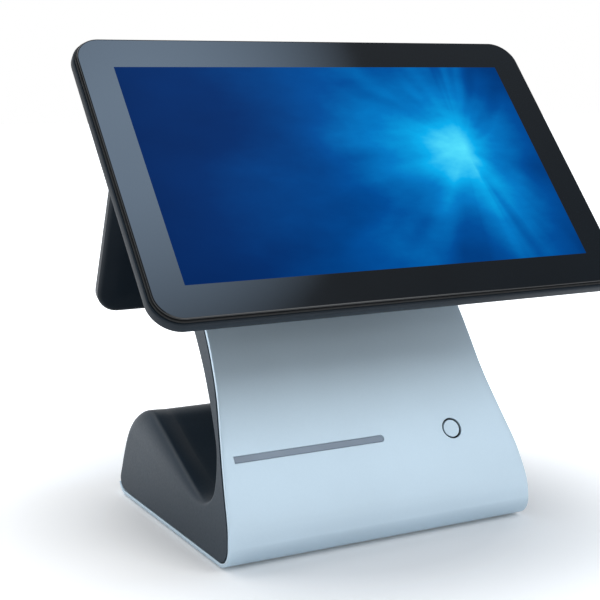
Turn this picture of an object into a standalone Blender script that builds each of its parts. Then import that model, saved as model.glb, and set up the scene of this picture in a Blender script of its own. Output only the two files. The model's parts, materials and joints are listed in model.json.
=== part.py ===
"""A two-sided point-of-sale terminal: a tilting touchscreen and a customer display on a curved metal stand.

Sizes are in millimetres and MM turns them into metres. +X runs to the operator's right, -Y faces the operator
and +Z is up. The stand is drawn from where the front cover meets the counter, and TO_ORIGIN moves that line
so that the origin is the centre of the footprint. Each display is drawn in its own frame: X across, Y the
depth behind the glass, Z up the screen, from the middle of the picture.
"""

import math

import bmesh
import bpy
from mathutils import Vector

MM = 0.001
GAP = 0.3
CUT_PAST = 6.0

TO_ORIGIN = -90.6

# Operator's display
HEAD_TILT = math.radians(41.2)
HEAD_CENTRE = (34.6, 290.9)
HEAD_GLASS = (198.0, -123.2, 124.2)
HEAD_RIM = (200.7, -126.8, 126.0)
HEAD_CORNER = 20.6
HEAD_PANEL = (181.5, -107.0, 107.0)
HEAD_BULGE = (122.0, -78.0, 74.0)
HEAD_DEPTH = 34.0
HEAD_PIVOT = (94.0, 10.0)
HEAD_VENTS = (13, 20.0, 52.0)
HEAD_PLATE = (48.0, -36.0, 40.0, 3.0)
SHROUD_HALF = 47.0
SHROUD_WIDE = (-40.0, 45.0)
SHROUD_NARROW = (-15.0, 30.0)
SHROUD_SHORT = 15.0
SHROUD_FROM = 3.9
SHROUD_WALL = 2.4

# Customer's display
CUSTOMER_TILT = math.radians(24.5)
CUSTOMER_CENTRE = (188.1, 253.3)
CUSTOMER_GLASS = (147.8, -95.6, 96.9)
CUSTOMER_RIM = (150.5, -98.7, 98.7)
CUSTOMER_CORNER = 18.6
CUSTOMER_PANEL = (134.0, -80.0, 80.0)
CUSTOMER_BULGE = (82.0, -52.0, 46.0)
CUSTOMER_DEPTH = 22.0
CUSTOMER_PIVOT = (50.0, 4.0)
CUSTOMER_VENTS = (9, 12.0, 32.0)
CUSTOMER_PLATE = (45.0, -20.0, 26.0, 2.5)

# Layers of both displays, as depths behind the front of the glass and growths or insets of an outline
GLASS_DEPTH = 2.0
GASKET_BACK = 3.3
GASKET_GROWTHS = (1.1, -8.0)
PANEL_BACK = 7.8
CHASSIS_DEPTHS = (8.4, 9.6)
CHASSIS_INSETS = (10.0, 8.0)
BOARD_DEPTHS = (13.0, 14.6)
BOARD_INSET = 22.0

# Rear shell of both displays: rings as (depth, growth of the rim's outline, how much deeper at the bottom
# edge), then as (share of the rise to the raised middle, growth of its outline)
SHELL_WALL = 2.0
SHELL_RIM = [(3.6, -0.7, 0.0), (4.3, 0.0, 0.0), (9.0, 0.0, 1.4), (10.5, -0.6, 1.4), (11.3, -2.5, 1.4),
             (12.4, -15.3, 1.4)]
SHELL_RISE = [(0.3, 12.0), (0.88, 3.0), (0.97, 0.8), (1.0, -2.0)]
SHELL_CORNER = 14.0
VENT_PITCH = 8.0
VENT_HALF = 1.2
CHEEK_ROOT = (0.2, 8.0)
CHEEK_INSET = 4.0

# Stand: curves as (y, z), the cover's outside from the top down, the moulding's crest, the edge of its
# flat sides below the crest, and how far down the inside of the cover each of those stations is met
COVER_SHEET = 3.0
BODY_GAP = 1.0
UNDERSIDE = 1.5
FRONT_RADIUS = 17.0
FRONT_CENTRE = (4.2, UNDERSIDE + FRONT_RADIUS)
COVER_FRONT = [
    (113.0, 216.0), (94.4, 198.2), (76.1, 180.0), (60.5, 160.0), (47.8, 140.0), (36.3, 120.0), (24.7, 100.0),
    (12.6, 80.0), (0.6, 60.0), (-8.9, 40.0), (-11.8, 30.0), (-12.8, 18.5),
]
REAR_RADIUS = 14.0
REAR_CENTRE = (201.5, UNDERSIDE + REAR_RADIUS)
REAR_END = 335.0
HALF_WIDTH = [
    (0.0, 134.8), (30.0, 133.8), (60.0, 130.8), (90.0, 125.2), (120.0, 119.6), (150.0, 116.7), (190.0, 114.4),
    (230.0, 113.2),
]
CREST = [
    (127.7, 199.8), (104.5, 178.6), (87.1, 158.7), (70.7, 138.8), (55.8, 118.8), (39.7, 99.8), (27.8, 84.2),
    (21.6, 69.6), (20.4, 60.0), (22.1, 52.0), (28.6, 45.6), (40.6, 42.4), (61.0, 46.2), (99.0, 60.0),
    (140.0, 75.3), (160.0, 81.2), (176.0, 80.0), (191.0, 71.5), (201.0, 59.0), (207.0, 43.0), (210.2, 28.0),
    (212.6, 15.0), (208.6, 8.6), (200.0, 5.8),
]
FLAT_EDGE = [
    (126.1, 201.4), (102.9, 180.2), (85.4, 160.3), (68.9, 140.4), (53.9, 120.4), (37.6, 101.4), (25.4, 85.4),
    (18.9, 70.0), (17.4, 59.2), (18.8, 50.2), (25.4, 43.2), (37.6, 38.2), (59.0, 36.0), (102.0, 41.3),
    (148.0, 51.6), (172.0, 55.4), (183.0, 57.0), (191.0, 56.0), (196.0, 49.0), (201.0, 38.0), (205.8, 26.0),
    (210.2, 14.5), (206.8, 8.8), (198.5, 6.0),
]
FRONT_REACH = [
    3, 33, 60, 89, 115, 140, 160, 181, 197, 211, 222, 234, 262, 312, 372, 402, 415, 423, 429, 433, 436, 438,
    440, 441,
]
CREST_INSET = 6.0
DISH_WIDTH = 16.0
DISH_DEPTH = 3.0
DISH_Y = (45.0, 185.0)
STEM_SHARE = 0.43
STEM_SWELL = 7.0
STEM_SWELL_Z = (50.0, 190.0)
BODY_WALL = 2.0
BODY_STEPS = 44

# Front controls, measured up the cover from the counter
CONTROLS_Z = 78.3
BUTTON_X = 74.3
BUTTON_HOLE = 8.6
BUTTON_RADIUS = 7.2
BUTTON_RECESS = 0.6
BUTTON_BACK = 3.2
GUIDE_FRONT = 1.4
GUIDE_STEP = 3.5
GUIDE_BACK = 4.2
GUIDE_FLANGE = 2.7
SWITCH_HALF = 3.0
SWITCH_DEPTHS = (4.4, 6.0)
SLOT_FROM = -118.1
SLOT_TO = 10.5
SLOT_HEIGHT = 5.4

# Rear connector recess and its sockets: (name, x, width, height, opening width, opening height)
RECESS_HALF = 86.0
RECESS_Z = (13.0, 47.0)
RECESS_BACK = 186.0
RECESS_MOUTH = (209.0, 203.6)
REAR_PAST = 230.0
PANEL_SHEET = 1.5
SOCKETS_Z = 31.0
SOCKET_DEPTH = 14.0
SOCKET_PROUD = 2.0
SOCKETS = [
    ("drawer_socket", -70.0, 14.0, 13.0, 10.0, 7.0),
    ("serial_socket", -42.0, 24.0, 13.0, 17.4, 8.6),
    ("video_socket", -11.0, 24.0, 13.0, 17.4, 8.6),
    ("network_socket", 16.0, 17.0, 15.0, 12.0, 8.6),
]
USB_SOCKETS = [("usb_socket_left", 38.0), ("usb_socket_right", 56.0)]
USB_BODY = (14.6, 16.4)
USB_OPENING = (12.4, 5.2)
USB_PITCH = 7.6
POWER_X = 74.0
POWER_BODY = 13.0
POWER_BORE = 4.2
POWER_BORE_DEPTH = 11.0
MOUTH_DEPTH = 12.0

# What lies in the base, as (name, material, x, y, z) spans, and the finned heat sink on the main board
BOARD_Z = (20.0, 21.6)
INSIDES = [
    ("ballast_plate", "steel", (-112.0, 112.0), (22.0, 182.0), (5.0, 9.0)),
    ("main_board", "board", (-78.0, 84.0), (72.0, 184.0), BOARD_Z),
    ("storage_module", "board", (-66.0, -44.0), (84.0, 164.0), (22.0, 25.5)),
    ("memory_module", "board", (42.0, 72.0), (92.0, 159.0), (22.0, 26.0)),
    ("speaker", "socket", (-104.0, -64.0), (28.0, 56.0), (9.4, 24.0)),
]
SINK_Y = 92.0
SINK_HALF = 28.0
SINK_FINS = 7
SINK_PITCH = 7.0
SINK_FIN = 2.0
SINK_WEB = 3.0
SINK_HEIGHT = 15.0

# What stands in the stem, as distances up past the cover's top edge and behind the cover's front
CAP_DEPTH = 22.4
CAP_THICK = 3.0
CAP_CHAMFER = 0.6
FRAME_HALF = 60.0
FRAME_OFFSETS = (4.7, 6.1)
FRAME_Z = (42.0, 206.0)
FRAME_Y = 150.0
CASTING_ACROSS = (6.6, 14.0)
CASTING_ALONG = (-34.0, 9.0)
NECK_FROM = 6.0
WINDOW_ACROSS = (5.6, 15.0)
WEB_INSET = 0.4

# Hinges
SHAFT_RADIUS = 4.0
SHAFT_HALF = 47.0
SHAFT_HEAD = (4.0, 7.0)
KNUCKLE_RADIUS = 11.0
BLOCK_HALF = 34.0
WASHER = (37.4, 9.0)
CHEEK = (37.8, 41.0)
FOOT_RADIUS = 10.0
FEET = [("foot_front_left", -112.0, 26.0), ("foot_front_right", 112.0, 26.0),
        ("foot_rear_left", -112.0, 182.0), ("foot_rear_right", 112.0, 182.0)]


# ---------------------------------------------------------------- materials


def material(name, colour, roughness, metallic=0.0):
    made = bpy.data.materials.new(name)
    made.use_nodes = True
    shader = made.node_tree.nodes["Principled BSDF"]
    shader.inputs["Base Color"].default_value = (*colour, 1.0)
    shader.inputs["Roughness"].default_value = roughness
    shader.inputs["Metallic"].default_value = metallic
    made.diffuse_color = (*colour, 1.0)
    return made


def make_materials():
    return {
        "glass": material("black_glass", (0.012, 0.014, 0.017), 0.06),
        "gasket": material("gasket_black", (0.01, 0.01, 0.012), 0.7),
        "panel": material("screen_panel", (0.01, 0.05, 0.16), 0.3),
        "slate": material("slate_plastic", (0.045, 0.058, 0.072), 0.38),
        "aluminium": material("satin_aluminium", (0.62, 0.69, 0.76), 0.36, 0.9),
        "steel": material("plated_steel", (0.5, 0.5, 0.5), 0.4, 1.0),
        "board": material("circuit_board", (0.02, 0.12, 0.06), 0.5),
        "sink": material("black_anodised", (0.03, 0.03, 0.035), 0.45, 0.8),
        "rubber": material("black_rubber", (0.02, 0.02, 0.02), 0.85),
        "lens": material("grey_blue_lens", (0.14, 0.19, 0.26), 0.3),
        "socket": material("socket_black", (0.015, 0.015, 0.018), 0.5),
    }


# ---------------------------------------------------------------- shared shapes


def finish(name, bm, look, parent, location=(0.0, 0.0, 0.0), closed=True):
    """Turns a mesh drawn in millimetres into a named object under its parent."""
    bmesh.ops.scale(bm, vec=Vector((MM, MM, MM)), verts=bm.verts)
    if closed:
        bmesh.ops.recalc_face_normals(bm, faces=bm.faces)
    mesh = bpy.data.meshes.new(name)
    bm.to_mesh(mesh)
    bm.free()
    mesh.materials.append(look)
    obj = bpy.data.objects.new(name, mesh)
    bpy.context.scene.collection.objects.link(obj)
    obj.parent = parent
    obj.location = Vector(location) * MM
    return obj


def empty(name, parent, location, rotation=(0.0, 0.0, 0.0)):
    made = bpy.data.objects.new(name, None)
    bpy.context.scene.collection.objects.link(made)
    made.parent = parent
    made.location = Vector(location) * MM
    made.rotation_euler = rotation
    return made


def smooth(obj, angle=35.0):
    obj.data.shade_smooth()
    obj.data.set_sharp_from_angle(angle=math.radians(angle))
    return obj


def bevel(obj, width, segments=2, angle=40.0):
    made = obj.modifiers.new("edge", "BEVEL")
    made.width = width * MM
    made.segments = segments
    made.limit_method = "ANGLE"
    made.angle_limit = math.radians(angle)
    return obj


def boolean(obj, other, operation="DIFFERENCE"):
    other.hide_render = True
    other.display_type = "WIRE"
    made = obj.modifiers.new(operation.lower(), "BOOLEAN")
    made.operation = operation
    made.object = other
    return obj


def through(points, steps):
    """A smooth open curve (Catmull-Rom, by chord length) through points, as steps + 1 even places."""
    ends = [tuple(2 * a - b for a, b in zip(points[0], points[1]))]
    ends += list(points)
    ends += [tuple(2 * a - b for a, b in zip(points[-1], points[-2]))]
    placed = []
    for step in range(steps + 1):
        where = step / steps * (len(points) - 1)
        index = min(int(where), len(points) - 2)
        placed.append(catmull(ends[index:index + 4], where - index))
    return placed


def catmull(four, t):
    before, start, end, after = four
    return tuple(
        0.5 * (2 * b + (c - a) * t + (2 * a - 5 * b + 4 * c - d) * t * t + (3 * b - a - 3 * c + d) * t ** 3)
        for a, b, c, d in zip(before, start, end, after)
    )


def half_width(z):
    """Half the stand's width at a height."""
    for (low, at_low), (high, at_high) in zip(HALF_WIDTH, HALF_WIDTH[1:]):
        if z <= high:
            index = HALF_WIDTH.index((low, at_low))
            near = [HALF_WIDTH[max(index - 1, 0)], (low, at_low), (high, at_high),
                    HALF_WIDTH[min(index + 2, len(HALF_WIDTH) - 1)]]
            return catmull([(width,) for _, width in near], (z - low) / (high - low))[0]
    return HALF_WIDTH[-1][1]


def prism(outline, low, high):
    """A closed outline in the YZ plane, as (y, z), stretched along X from low to high."""
    bm = bmesh.new()
    ends = [[bm.verts.new((x, y, z)) for y, z in outline] for x in (low, high)]
    bm.faces.new(ends[0])
    bm.faces.new(ends[1])
    for i in range(len(outline)):
        j = (i + 1) % len(outline)
        bm.faces.new((ends[0][i], ends[0][j], ends[1][j], ends[1][i]))
    return bm


def block(x, y, z):
    """A box from three (low, high) pairs."""
    return prism([(y[0], z[0]), (y[1], z[0]), (y[1], z[1]), (y[0], z[1])], *x)


def disc(centre, radius, x, sides=32):
    return prism(circle(centre, radius, sides), *x)


def circle(centre, radius, sides=32):
    turn = [2 * math.pi * i / sides for i in range(sides)]
    return [(centre[0] + radius * math.cos(a), centre[1] + radius * math.sin(a)) for a in turn]


def arc(centre, radius, start, end, steps):
    """Points on an arc in the YZ plane, with angles in degrees from +Y towards +Z."""
    turn = [math.radians(start + (end - start) * i / steps) for i in range(steps + 1)]
    return [(centre[0] + radius * math.cos(a), centre[1] + radius * math.sin(a)) for a in turn]


def hull(points, low, high):
    """The convex outline round some (y, z) points, stretched along X."""
    points = sorted(set(points))
    outline = []
    for run in (points, points[::-1]):
        chain = []
        for point in run:
            while len(chain) > 1 and turns_right(chain[-2], chain[-1], point):
                chain.pop()
            chain.append(point)
        outline += chain[:-1]
    return prism(outline, low, high)


def turns_right(a, b, c):
    return (b[0] - a[0]) * (c[1] - a[1]) - (b[1] - a[1]) * (c[0] - a[0]) <= 0


def turned(profile, sides=32):
    """A solid turned about X, from (x, radius) pairs that start and end at radius 0."""
    bm = bmesh.new()
    rings = []
    for x, radius in profile[1:-1]:
        rings.append([bm.verts.new((x, y, z)) for y, z in circle((0.0, 0.0), radius, sides)])
    for near, far in zip(rings, rings[1:]):
        bridge(bm, near, far)
    bm.faces.new(rings[0])
    bm.faces.new(rings[-1])
    return bm


def bridge(bm, near, far, closed=True):
    count = len(near) if closed else len(near) - 1
    for i in range(count):
        j = (i + 1) % len(near)
        bm.faces.new((near[i], near[j], far[j], far[i]))


def rounded(half, low, high, radius, grow=0.0, steps=6):
    """A rounded rectangle across a display, as (x, z), grown outwards by grow."""
    half, low, high = half + grow, low - grow, high + grow
    radius = max(radius + grow, 0.5)
    corners = [(half - radius, high - radius, 0), (radius - half, high - radius, 90),
               (radius - half, low + radius, 180), (half - radius, low + radius, 270)]
    placed = []
    for x, z, start in corners:
        placed += arc((x, z), radius, start, start + 90, steps)
    return placed


def loop_at(bm, outline, depth):
    return [bm.verts.new((x, depth, z)) for x, z in outline]


def slab(outline, front, back):
    bm = bmesh.new()
    near, far = loop_at(bm, outline, front), loop_at(bm, outline, back)
    bridge(bm, near, far)
    bm.faces.new(near)
    bm.faces.new(far)
    return bm


def frame_ring(outer, inner, front, back):
    bm = bmesh.new()
    corners = ((outer, front), (outer, back), (inner, back), (inner, front))
    loops = [loop_at(bm, outline, depth) for outline, depth in corners]
    for near, far in zip(loops, loops[1:] + loops[:1]):
        bridge(bm, near, far)
    return bm


# ---------------------------------------------------------------- displays


class Display:
    """One display: its sizes, the empty on its hinge that carries it, and where its picture's middle lies."""

    def __init__(self, name, glass, rim, corner, panel, bulge, depth, pivot, carrier):
        self.name = name
        self.glass = glass
        self.rim = rim
        self.corner = corner
        self.panel = panel
        self.bulge = bulge
        self.depth = depth
        self.pivot = pivot
        self.carrier = carrier

    def glass_outline(self, grow=0.0):
        return rounded(*self.glass, self.corner, grow)

    def rim_outline(self, grow):
        return rounded(*self.rim, self.corner + self.rim[0] - self.glass[0], grow)

    def add(self, part, bm, look):
        place = (0.0, -self.pivot[0], -self.pivot[1])
        return finish(f"{self.name}_{part}", bm, look, self.carrier, place)


def display_glass(display, looks):
    glass = display.add("glass", slab(display.glass_outline(), 0.0, GLASS_DEPTH), looks["glass"])
    return smooth(bevel(glass, 0.5))


def display_gasket(display, looks):
    outer, inner = (display.glass_outline(grow) for grow in GASKET_GROWTHS)
    gasket = frame_ring(outer, inner, GLASS_DEPTH + GAP, GASKET_BACK)
    return smooth(display.add("gasket", gasket, looks["gasket"]))


def display_panel(display, looks):
    panel = slab(rounded(*display.panel, 2.0, steps=2), GLASS_DEPTH + GAP, PANEL_BACK)
    return display.add("panel", panel, looks["panel"])


def display_chassis(display, looks):
    half, low, high = display.panel
    across, along = CHASSIS_INSETS
    outline = rounded(half - across, low + along, high - along, 4.0, steps=2)
    return display.add("chassis", slab(outline, *CHASSIS_DEPTHS), looks["steel"])


def display_board(display, looks):
    board = slab(rounded(*display.bulge, BOARD_INSET + 3.0, -BOARD_INSET, steps=2), *BOARD_DEPTHS)
    return display.add("board", board, looks["board"])


def display_housing(display, looks):
    """The rear shell: a straight rim, a shallow slope inwards and a flat raised middle, open at the front."""
    bm = bmesh.new()
    _, low, high = display.rim
    loops = []
    for depth, grow, lean in SHELL_RIM:
        ring = display.rim_outline(grow)
        loops.append([bm.verts.new((x, depth + lean * (high - z) / (high - low), z)) for x, z in ring])
    start = SHELL_RIM[-1][0]
    for share, grow in SHELL_RISE:
        depth = start + (display.depth - start) * share
        loops.append(loop_at(bm, rounded(*display.bulge, SHELL_CORNER, grow), depth))
    for near, far in zip(loops, loops[1:]):
        bridge(bm, near, far)
    bm.faces.new(loops[-1])
    housing = display.add("housing", bm, looks["slate"])
    shell = housing.modifiers.new("wall", "SOLIDIFY")
    shell.thickness = SHELL_WALL * MM
    shell.offset = -1.0
    shell.use_even_offset = True
    return smooth(housing)


def housing_vents(display, housing, count, tall, centre):
    """Upright slots through the flat middle of a housing."""
    for i in range(count):
        x = (i - (count - 1) / 2) * VENT_PITCH
        slot = block((x - VENT_HALF, x + VENT_HALF), (display.depth - CUT_PAST, display.depth + CUT_PAST),
                     (centre - tall / 2, centre + tall / 2))
        boolean(housing, display.add(f"vent_cutter_{i}", slot, housing.data.materials[0]))


def display_bracket(display, looks, plate):
    """A plate on the back of the housing with two cheeks that reach to the hinge's shaft."""
    half, low, high, sheet = plate
    back = display.depth + GAP
    sheet_shape = slab(rounded(half, low, high, 6.0, steps=3), back, back + sheet)
    bracket = display.add("bracket", sheet_shape, looks["steel"])
    for side, label in ((-1, "left"), (1, "right")):
        span = sorted((side * CHEEK[0], side * CHEEK[1]))
        edges = (low + CHEEK_INSET, high - CHEEK_INSET)
        root = [(back + deep, edge) for deep in CHEEK_ROOT for edge in edges]
        arm = hull(root + circle(display.pivot, KNUCKLE_RADIUS - 1.0, 24), *span)
        boolean(bracket, display.add(f"cheek_{label}", arm, looks["steel"]), "UNION")
    bore = disc(display.pivot, SHAFT_RADIUS + GAP, (-SHAFT_HALF, SHAFT_HALF))
    boolean(bracket, display.add("bore_cutter", bore, looks["steel"]))
    return smooth(bracket)


def display_arm_cover(display, looks):
    """A moulded shroud round the bracket's cheeks, open at both ends."""
    start, end = display.depth + SHROUD_FROM, display.pivot[0] - SHROUD_SHORT
    (low, high), (low_end, high_end) = SHROUD_WIDE, SHROUD_NARROW
    outline = [(start, low), (end, low_end), (end, high_end), (start, high)]
    cover = display.add("arm_cover", prism(outline, -SHROUD_HALF, SHROUD_HALF), looks["slate"])
    inner = SHROUD_HALF - SHROUD_WALL
    core = prism(offset_inside(outline, SHROUD_WALL), -inner, inner)
    boolean(cover, display.add("arm_core", core, looks["slate"]))
    return smooth(bevel(cover, 1.0, 2))


def offset_inside(outline, wall):
    """A four-sided shroud outline pulled in by its wall, and run past both of its open ends."""
    (start, low), (end, low_end), (_, high_end), (_, high) = outline
    past = CUT_PAST
    low_slope, high_slope = (low_end - low) / (end - start), (high_end - high) / (end - start)
    return [(start - past, low + wall - past * low_slope), (end + past, low_end + wall + past * low_slope),
            (end + past, high_end - wall + past * high_slope),
            (start - past, high - wall - past * high_slope)]


def make_head(looks, carrier):
    head = Display("head", HEAD_GLASS, HEAD_RIM, HEAD_CORNER, HEAD_PANEL, HEAD_BULGE, HEAD_DEPTH, HEAD_PIVOT,
                   carrier)
    display_glass(head, looks)
    display_gasket(head, looks)
    display_panel(head, looks)
    display_chassis(head, looks)
    display_board(head, looks)
    housing_vents(head, display_housing(head, looks), *HEAD_VENTS)
    display_bracket(head, looks, HEAD_PLATE)
    display_arm_cover(head, looks)


def make_customer(looks, carrier):
    customer = Display("customer", CUSTOMER_GLASS, CUSTOMER_RIM, CUSTOMER_CORNER, CUSTOMER_PANEL,
                       CUSTOMER_BULGE, CUSTOMER_DEPTH, CUSTOMER_PIVOT, carrier)
    display_glass(customer, looks)
    display_gasket(customer, looks)
    display_panel(customer, looks)
    display_chassis(customer, looks)
    display_board(customer, looks)
    housing_vents(customer, display_housing(customer, looks), *CUSTOMER_VENTS)
    display_bracket(customer, looks, CUSTOMER_PLATE)


# ---------------------------------------------------------------- stand


def cover_line():
    """The cover's outside from its top edge, down the front, under the base and up round the rear edge."""
    line = through(COVER_FRONT, 33)
    line += arc(FRONT_CENTRE, FRONT_RADIUS, 180, 270, 8)[1:]
    return line + arc(REAR_CENTRE, REAR_RADIUS, 270, REAR_END, 6)


def offset_line(line, distance):
    """The line moved sideways, to the left of its direction of travel."""
    placed = []
    for i, (y, z) in enumerate(line):
        before, after = line[max(i - 1, 0)], line[min(i + 1, len(line) - 1)]
        along = Vector((after[0] - before[0], after[1] - before[1])).normalized()
        placed.append((y - along.y * distance, z + along.x * distance))
    return placed


def sheet(outer, inner, half_at):
    """A bent sheet between two lines of the same length, with half its width from half_at(height)."""
    bm = bmesh.new()
    rows = []
    for (y, z), (y_in, z_in) in zip(outer, inner):
        half = half_at(z)
        rows.append([bm.verts.new(place) for place in
                     ((-half, y, z), (half, y, z), (half, y_in, z_in), (-half, y_in, z_in))])
    for near, far in zip(rows, rows[1:]):
        bridge(bm, near, far)
    bm.faces.new(rows[0])
    bm.faces.new(rows[-1])
    return bm


def controls_place():
    """Where the front controls sit on the cover, and the cover's direction up the slope there."""
    line = cover_line()
    for (y, z), (y_low, z_low) in zip(line, line[1:]):
        if z >= CONTROLS_Z > z_low:
            part = (z - CONTROLS_Z) / (z - z_low)
            up = Vector((y - y_low, z - z_low)).normalized()
            return (y + (y_low - y) * part, CONTROLS_Z), up
    raise ValueError("the controls are off the cover")


def front_cover(looks, root, face):
    outer = cover_line()
    bent = sheet(outer, offset_line(outer, COVER_SHEET), half_width)
    cover = finish("front_cover", bent, looks["aluminium"], root)
    hole = slab(circle((0.0, 0.0), BUTTON_HOLE, 28), -CUT_PAST, CUT_PAST)
    boolean(cover, finish("button_hole", hole, looks["aluminium"], face, (BUTTON_X, 0.0, 0.0)))
    boolean(cover, finish("slot_hole", slot_solid(0.0, -CUT_PAST, CUT_PAST), looks["aluminium"], face))
    return smooth(cover)


def slot_solid(inset, front, back):
    """The slot's outline, square at its left end and round at its right, made smaller by inset."""
    half = SLOT_HEIGHT / 2 - inset
    outline = [(SLOT_FROM + inset, -half)]
    outline += arc((SLOT_TO - SLOT_HEIGHT / 2, 0.0), half, -90, 90, 10)
    outline += [(SLOT_FROM + inset, half)]
    return slab(outline, front, back)


def body_rows(steps):
    """The moulding's ribs, each from its left flat edge over the crest and dish to its right one."""
    crest, edge = through(CREST, steps), through(FLAT_EDGE, steps)
    ribs = []
    for i, ((y, z), (y_flat, z_flat)) in enumerate(zip(crest, edge)):
        outer, inner = half_width(z_flat), half_width(z) - CREST_INSET
        rib = []
        for part in (0.0, 0.2, 0.45, 0.75, 1.0):
            turn = part * math.pi / 2
            rise, run = math.sin(turn), 1 - math.cos(turn)
            across = outer + (inner - outer) * run
            rib.append((-across, y_flat + (y - y_flat) * rise, z_flat + (z - z_flat) * rise))
        before, after = crest[max(i - 1, 0)], crest[min(i + 1, steps)]
        along = Vector((after[0] - before[0], after[1] - before[1])).normalized()
        sink = middle_sink(i / steps, y, z)
        rib.append((-(inner - DISH_WIDTH), y + along.y * sink, z - along.x * sink))
        ribs.append(rib + [(-x, y, z) for x, y, z in reversed(rib)])
    return ribs


def middle_sink(station, y, z):
    """How far the middle lies below the rails: a shallow dish on the ramp, and a raised back on the stem."""
    if station < STEM_SHARE:
        share = min(max((z - STEM_SWELL_Z[0]) / (STEM_SWELL_Z[1] - STEM_SWELL_Z[0]), 0.0), 1.0)
        return -STEM_SWELL * math.sin(math.pi * share)
    share = min(max((y - DISH_Y[0]) / (DISH_Y[1] - DISH_Y[0]), 0.0), 1.0)
    return DISH_DEPTH * math.sin(math.pi * share)


def body_front(steps):
    """The line just inside the cover that the moulding's sides run to, matched to its ribs."""
    inside = offset_line(cover_line(), COVER_SHEET + BODY_GAP)
    lengths = [0.0]
    for a, b in zip(inside, inside[1:]):
        lengths.append(lengths[-1] + math.dist(a, b))
    return [at_length(inside, lengths, reach) for reach, in through([(far,) for far in FRONT_REACH], steps)]


def at_length(line, lengths, wanted):
    for i in range(len(line) - 1):
        if wanted <= lengths[i + 1] or i == len(line) - 2:
            part = (wanted - lengths[i]) / (lengths[i + 1] - lengths[i])
            return tuple(a + (b - a) * part for a, b in zip(line[i], line[i + 1]))
    return line[-1]


def base_body(looks, root):
    """The dark moulding behind the cover: sides, stem back, ramp and rear wall, open at front and bottom."""
    bm = bmesh.new()
    ribs, front = body_rows(BODY_STEPS), body_front(BODY_STEPS)
    rows = []
    for rib, (y_front, z_front) in zip(ribs, front):
        y_flat, z_flat = rib[0][1:]
        side = []
        for part in (0.0, 0.34, 0.67):
            y, z = y_front + (y_flat - y_front) * part, z_front + (z_flat - z_front) * part
            side.append((-half_width(z), y, z))
        full = side + rib + [(-x, y, z) for x, y, z in reversed(side)]
        rows.append([bm.verts.new(place) for place in full])
    for near, far in zip(rows, rows[1:]):
        bridge(bm, near, far, closed=False)
    body = finish("base_body", bm, looks["slate"], root, closed=False)
    shell = body.modifiers.new("wall", "SOLIDIFY")
    shell.thickness = BODY_WALL * MM
    shell.offset = -1.0
    window = block((-RECESS_HALF - GAP, RECESS_HALF + GAP), (RECESS_BACK - CUT_PAST, REAR_PAST),
                   (RECESS_Z[0] - GAP, RECESS_Z[1] + GAP))
    boolean(body, finish("window_cutter", window, looks["slate"], root))
    return smooth(body)


def stem_place(along, across):
    """A place near the stem's top: so far up past the cover's top edge, and so far behind its front."""
    (y, z), (y_low, z_low) = COVER_FRONT[0], COVER_FRONT[1]
    up = Vector((y - y_low, z - z_low)).normalized()
    return (y + up.x * along + up.y * across, z + up.y * along - up.x * across)


def stem_cap(looks, root):
    """The moulding that closes the stem's top, with a window for the hinge block."""
    half = half_width(COVER_FRONT[0][1])
    top = GAP + CAP_THICK
    outline = [stem_place(GAP, 0.0), stem_place(GAP, CAP_DEPTH), stem_place(top, CAP_DEPTH - CAP_CHAMFER),
               stem_place(top, CAP_CHAMFER)]
    cap = finish("stem_cap", prism(outline, -half, half), looks["slate"], root)
    near, far = WINDOW_ACROSS
    window = [stem_place(-CUT_PAST, near), stem_place(-CUT_PAST, far), stem_place(CUT_PAST, far),
              stem_place(CUT_PAST, near)]
    opening = prism(window, -BLOCK_HALF - GAP, BLOCK_HALF + GAP)
    boolean(cap, finish("cap_cutter", opening, looks["slate"], root))
    return bevel(cap, 0.8)


def stem_frame(looks, root):
    """The steel sheet that stiffens the stem between the base and the hinge block."""
    line = [(y, z) for y, z in cover_line() if FRAME_Z[0] < z < FRAME_Z[1] and y < FRAME_Y]
    front, back = (offset_line(line, distance) for distance in FRAME_OFFSETS)
    return smooth(finish("stem_frame", sheet(front, back, lambda z: FRAME_HALF), looks["steel"], root))


def hinge_block(looks, root, head_at, customer_at):
    """The casting in the stem's top that carries both shafts."""
    foot = [stem_place(along, across) for along in CASTING_ALONG for across in CASTING_ACROSS]
    casting = finish("hinge_block", hull(foot, -BLOCK_HALF, BLOCK_HALF), looks["sink"], root)
    neck = [stem_place(NECK_FROM, across) for across in CASTING_ACROSS]
    barrels = circle(head_at, KNUCKLE_RADIUS, 24) + circle(customer_at, KNUCKLE_RADIUS, 24)
    half = BLOCK_HALF - WEB_INSET
    boolean(casting, finish("hinge_web", hull(neck + barrels, -half, half), looks["sink"], root), "UNION")
    for label, at in (("head", head_at), ("customer", customer_at)):
        bore = disc(at, SHAFT_RADIUS + GAP, (-BLOCK_HALF - CUT_PAST, BLOCK_HALF + CUT_PAST), 24)
        boolean(casting, finish(f"{label}_bore_cutter", bore, looks["sink"], root))
    return smooth(casting)


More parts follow.
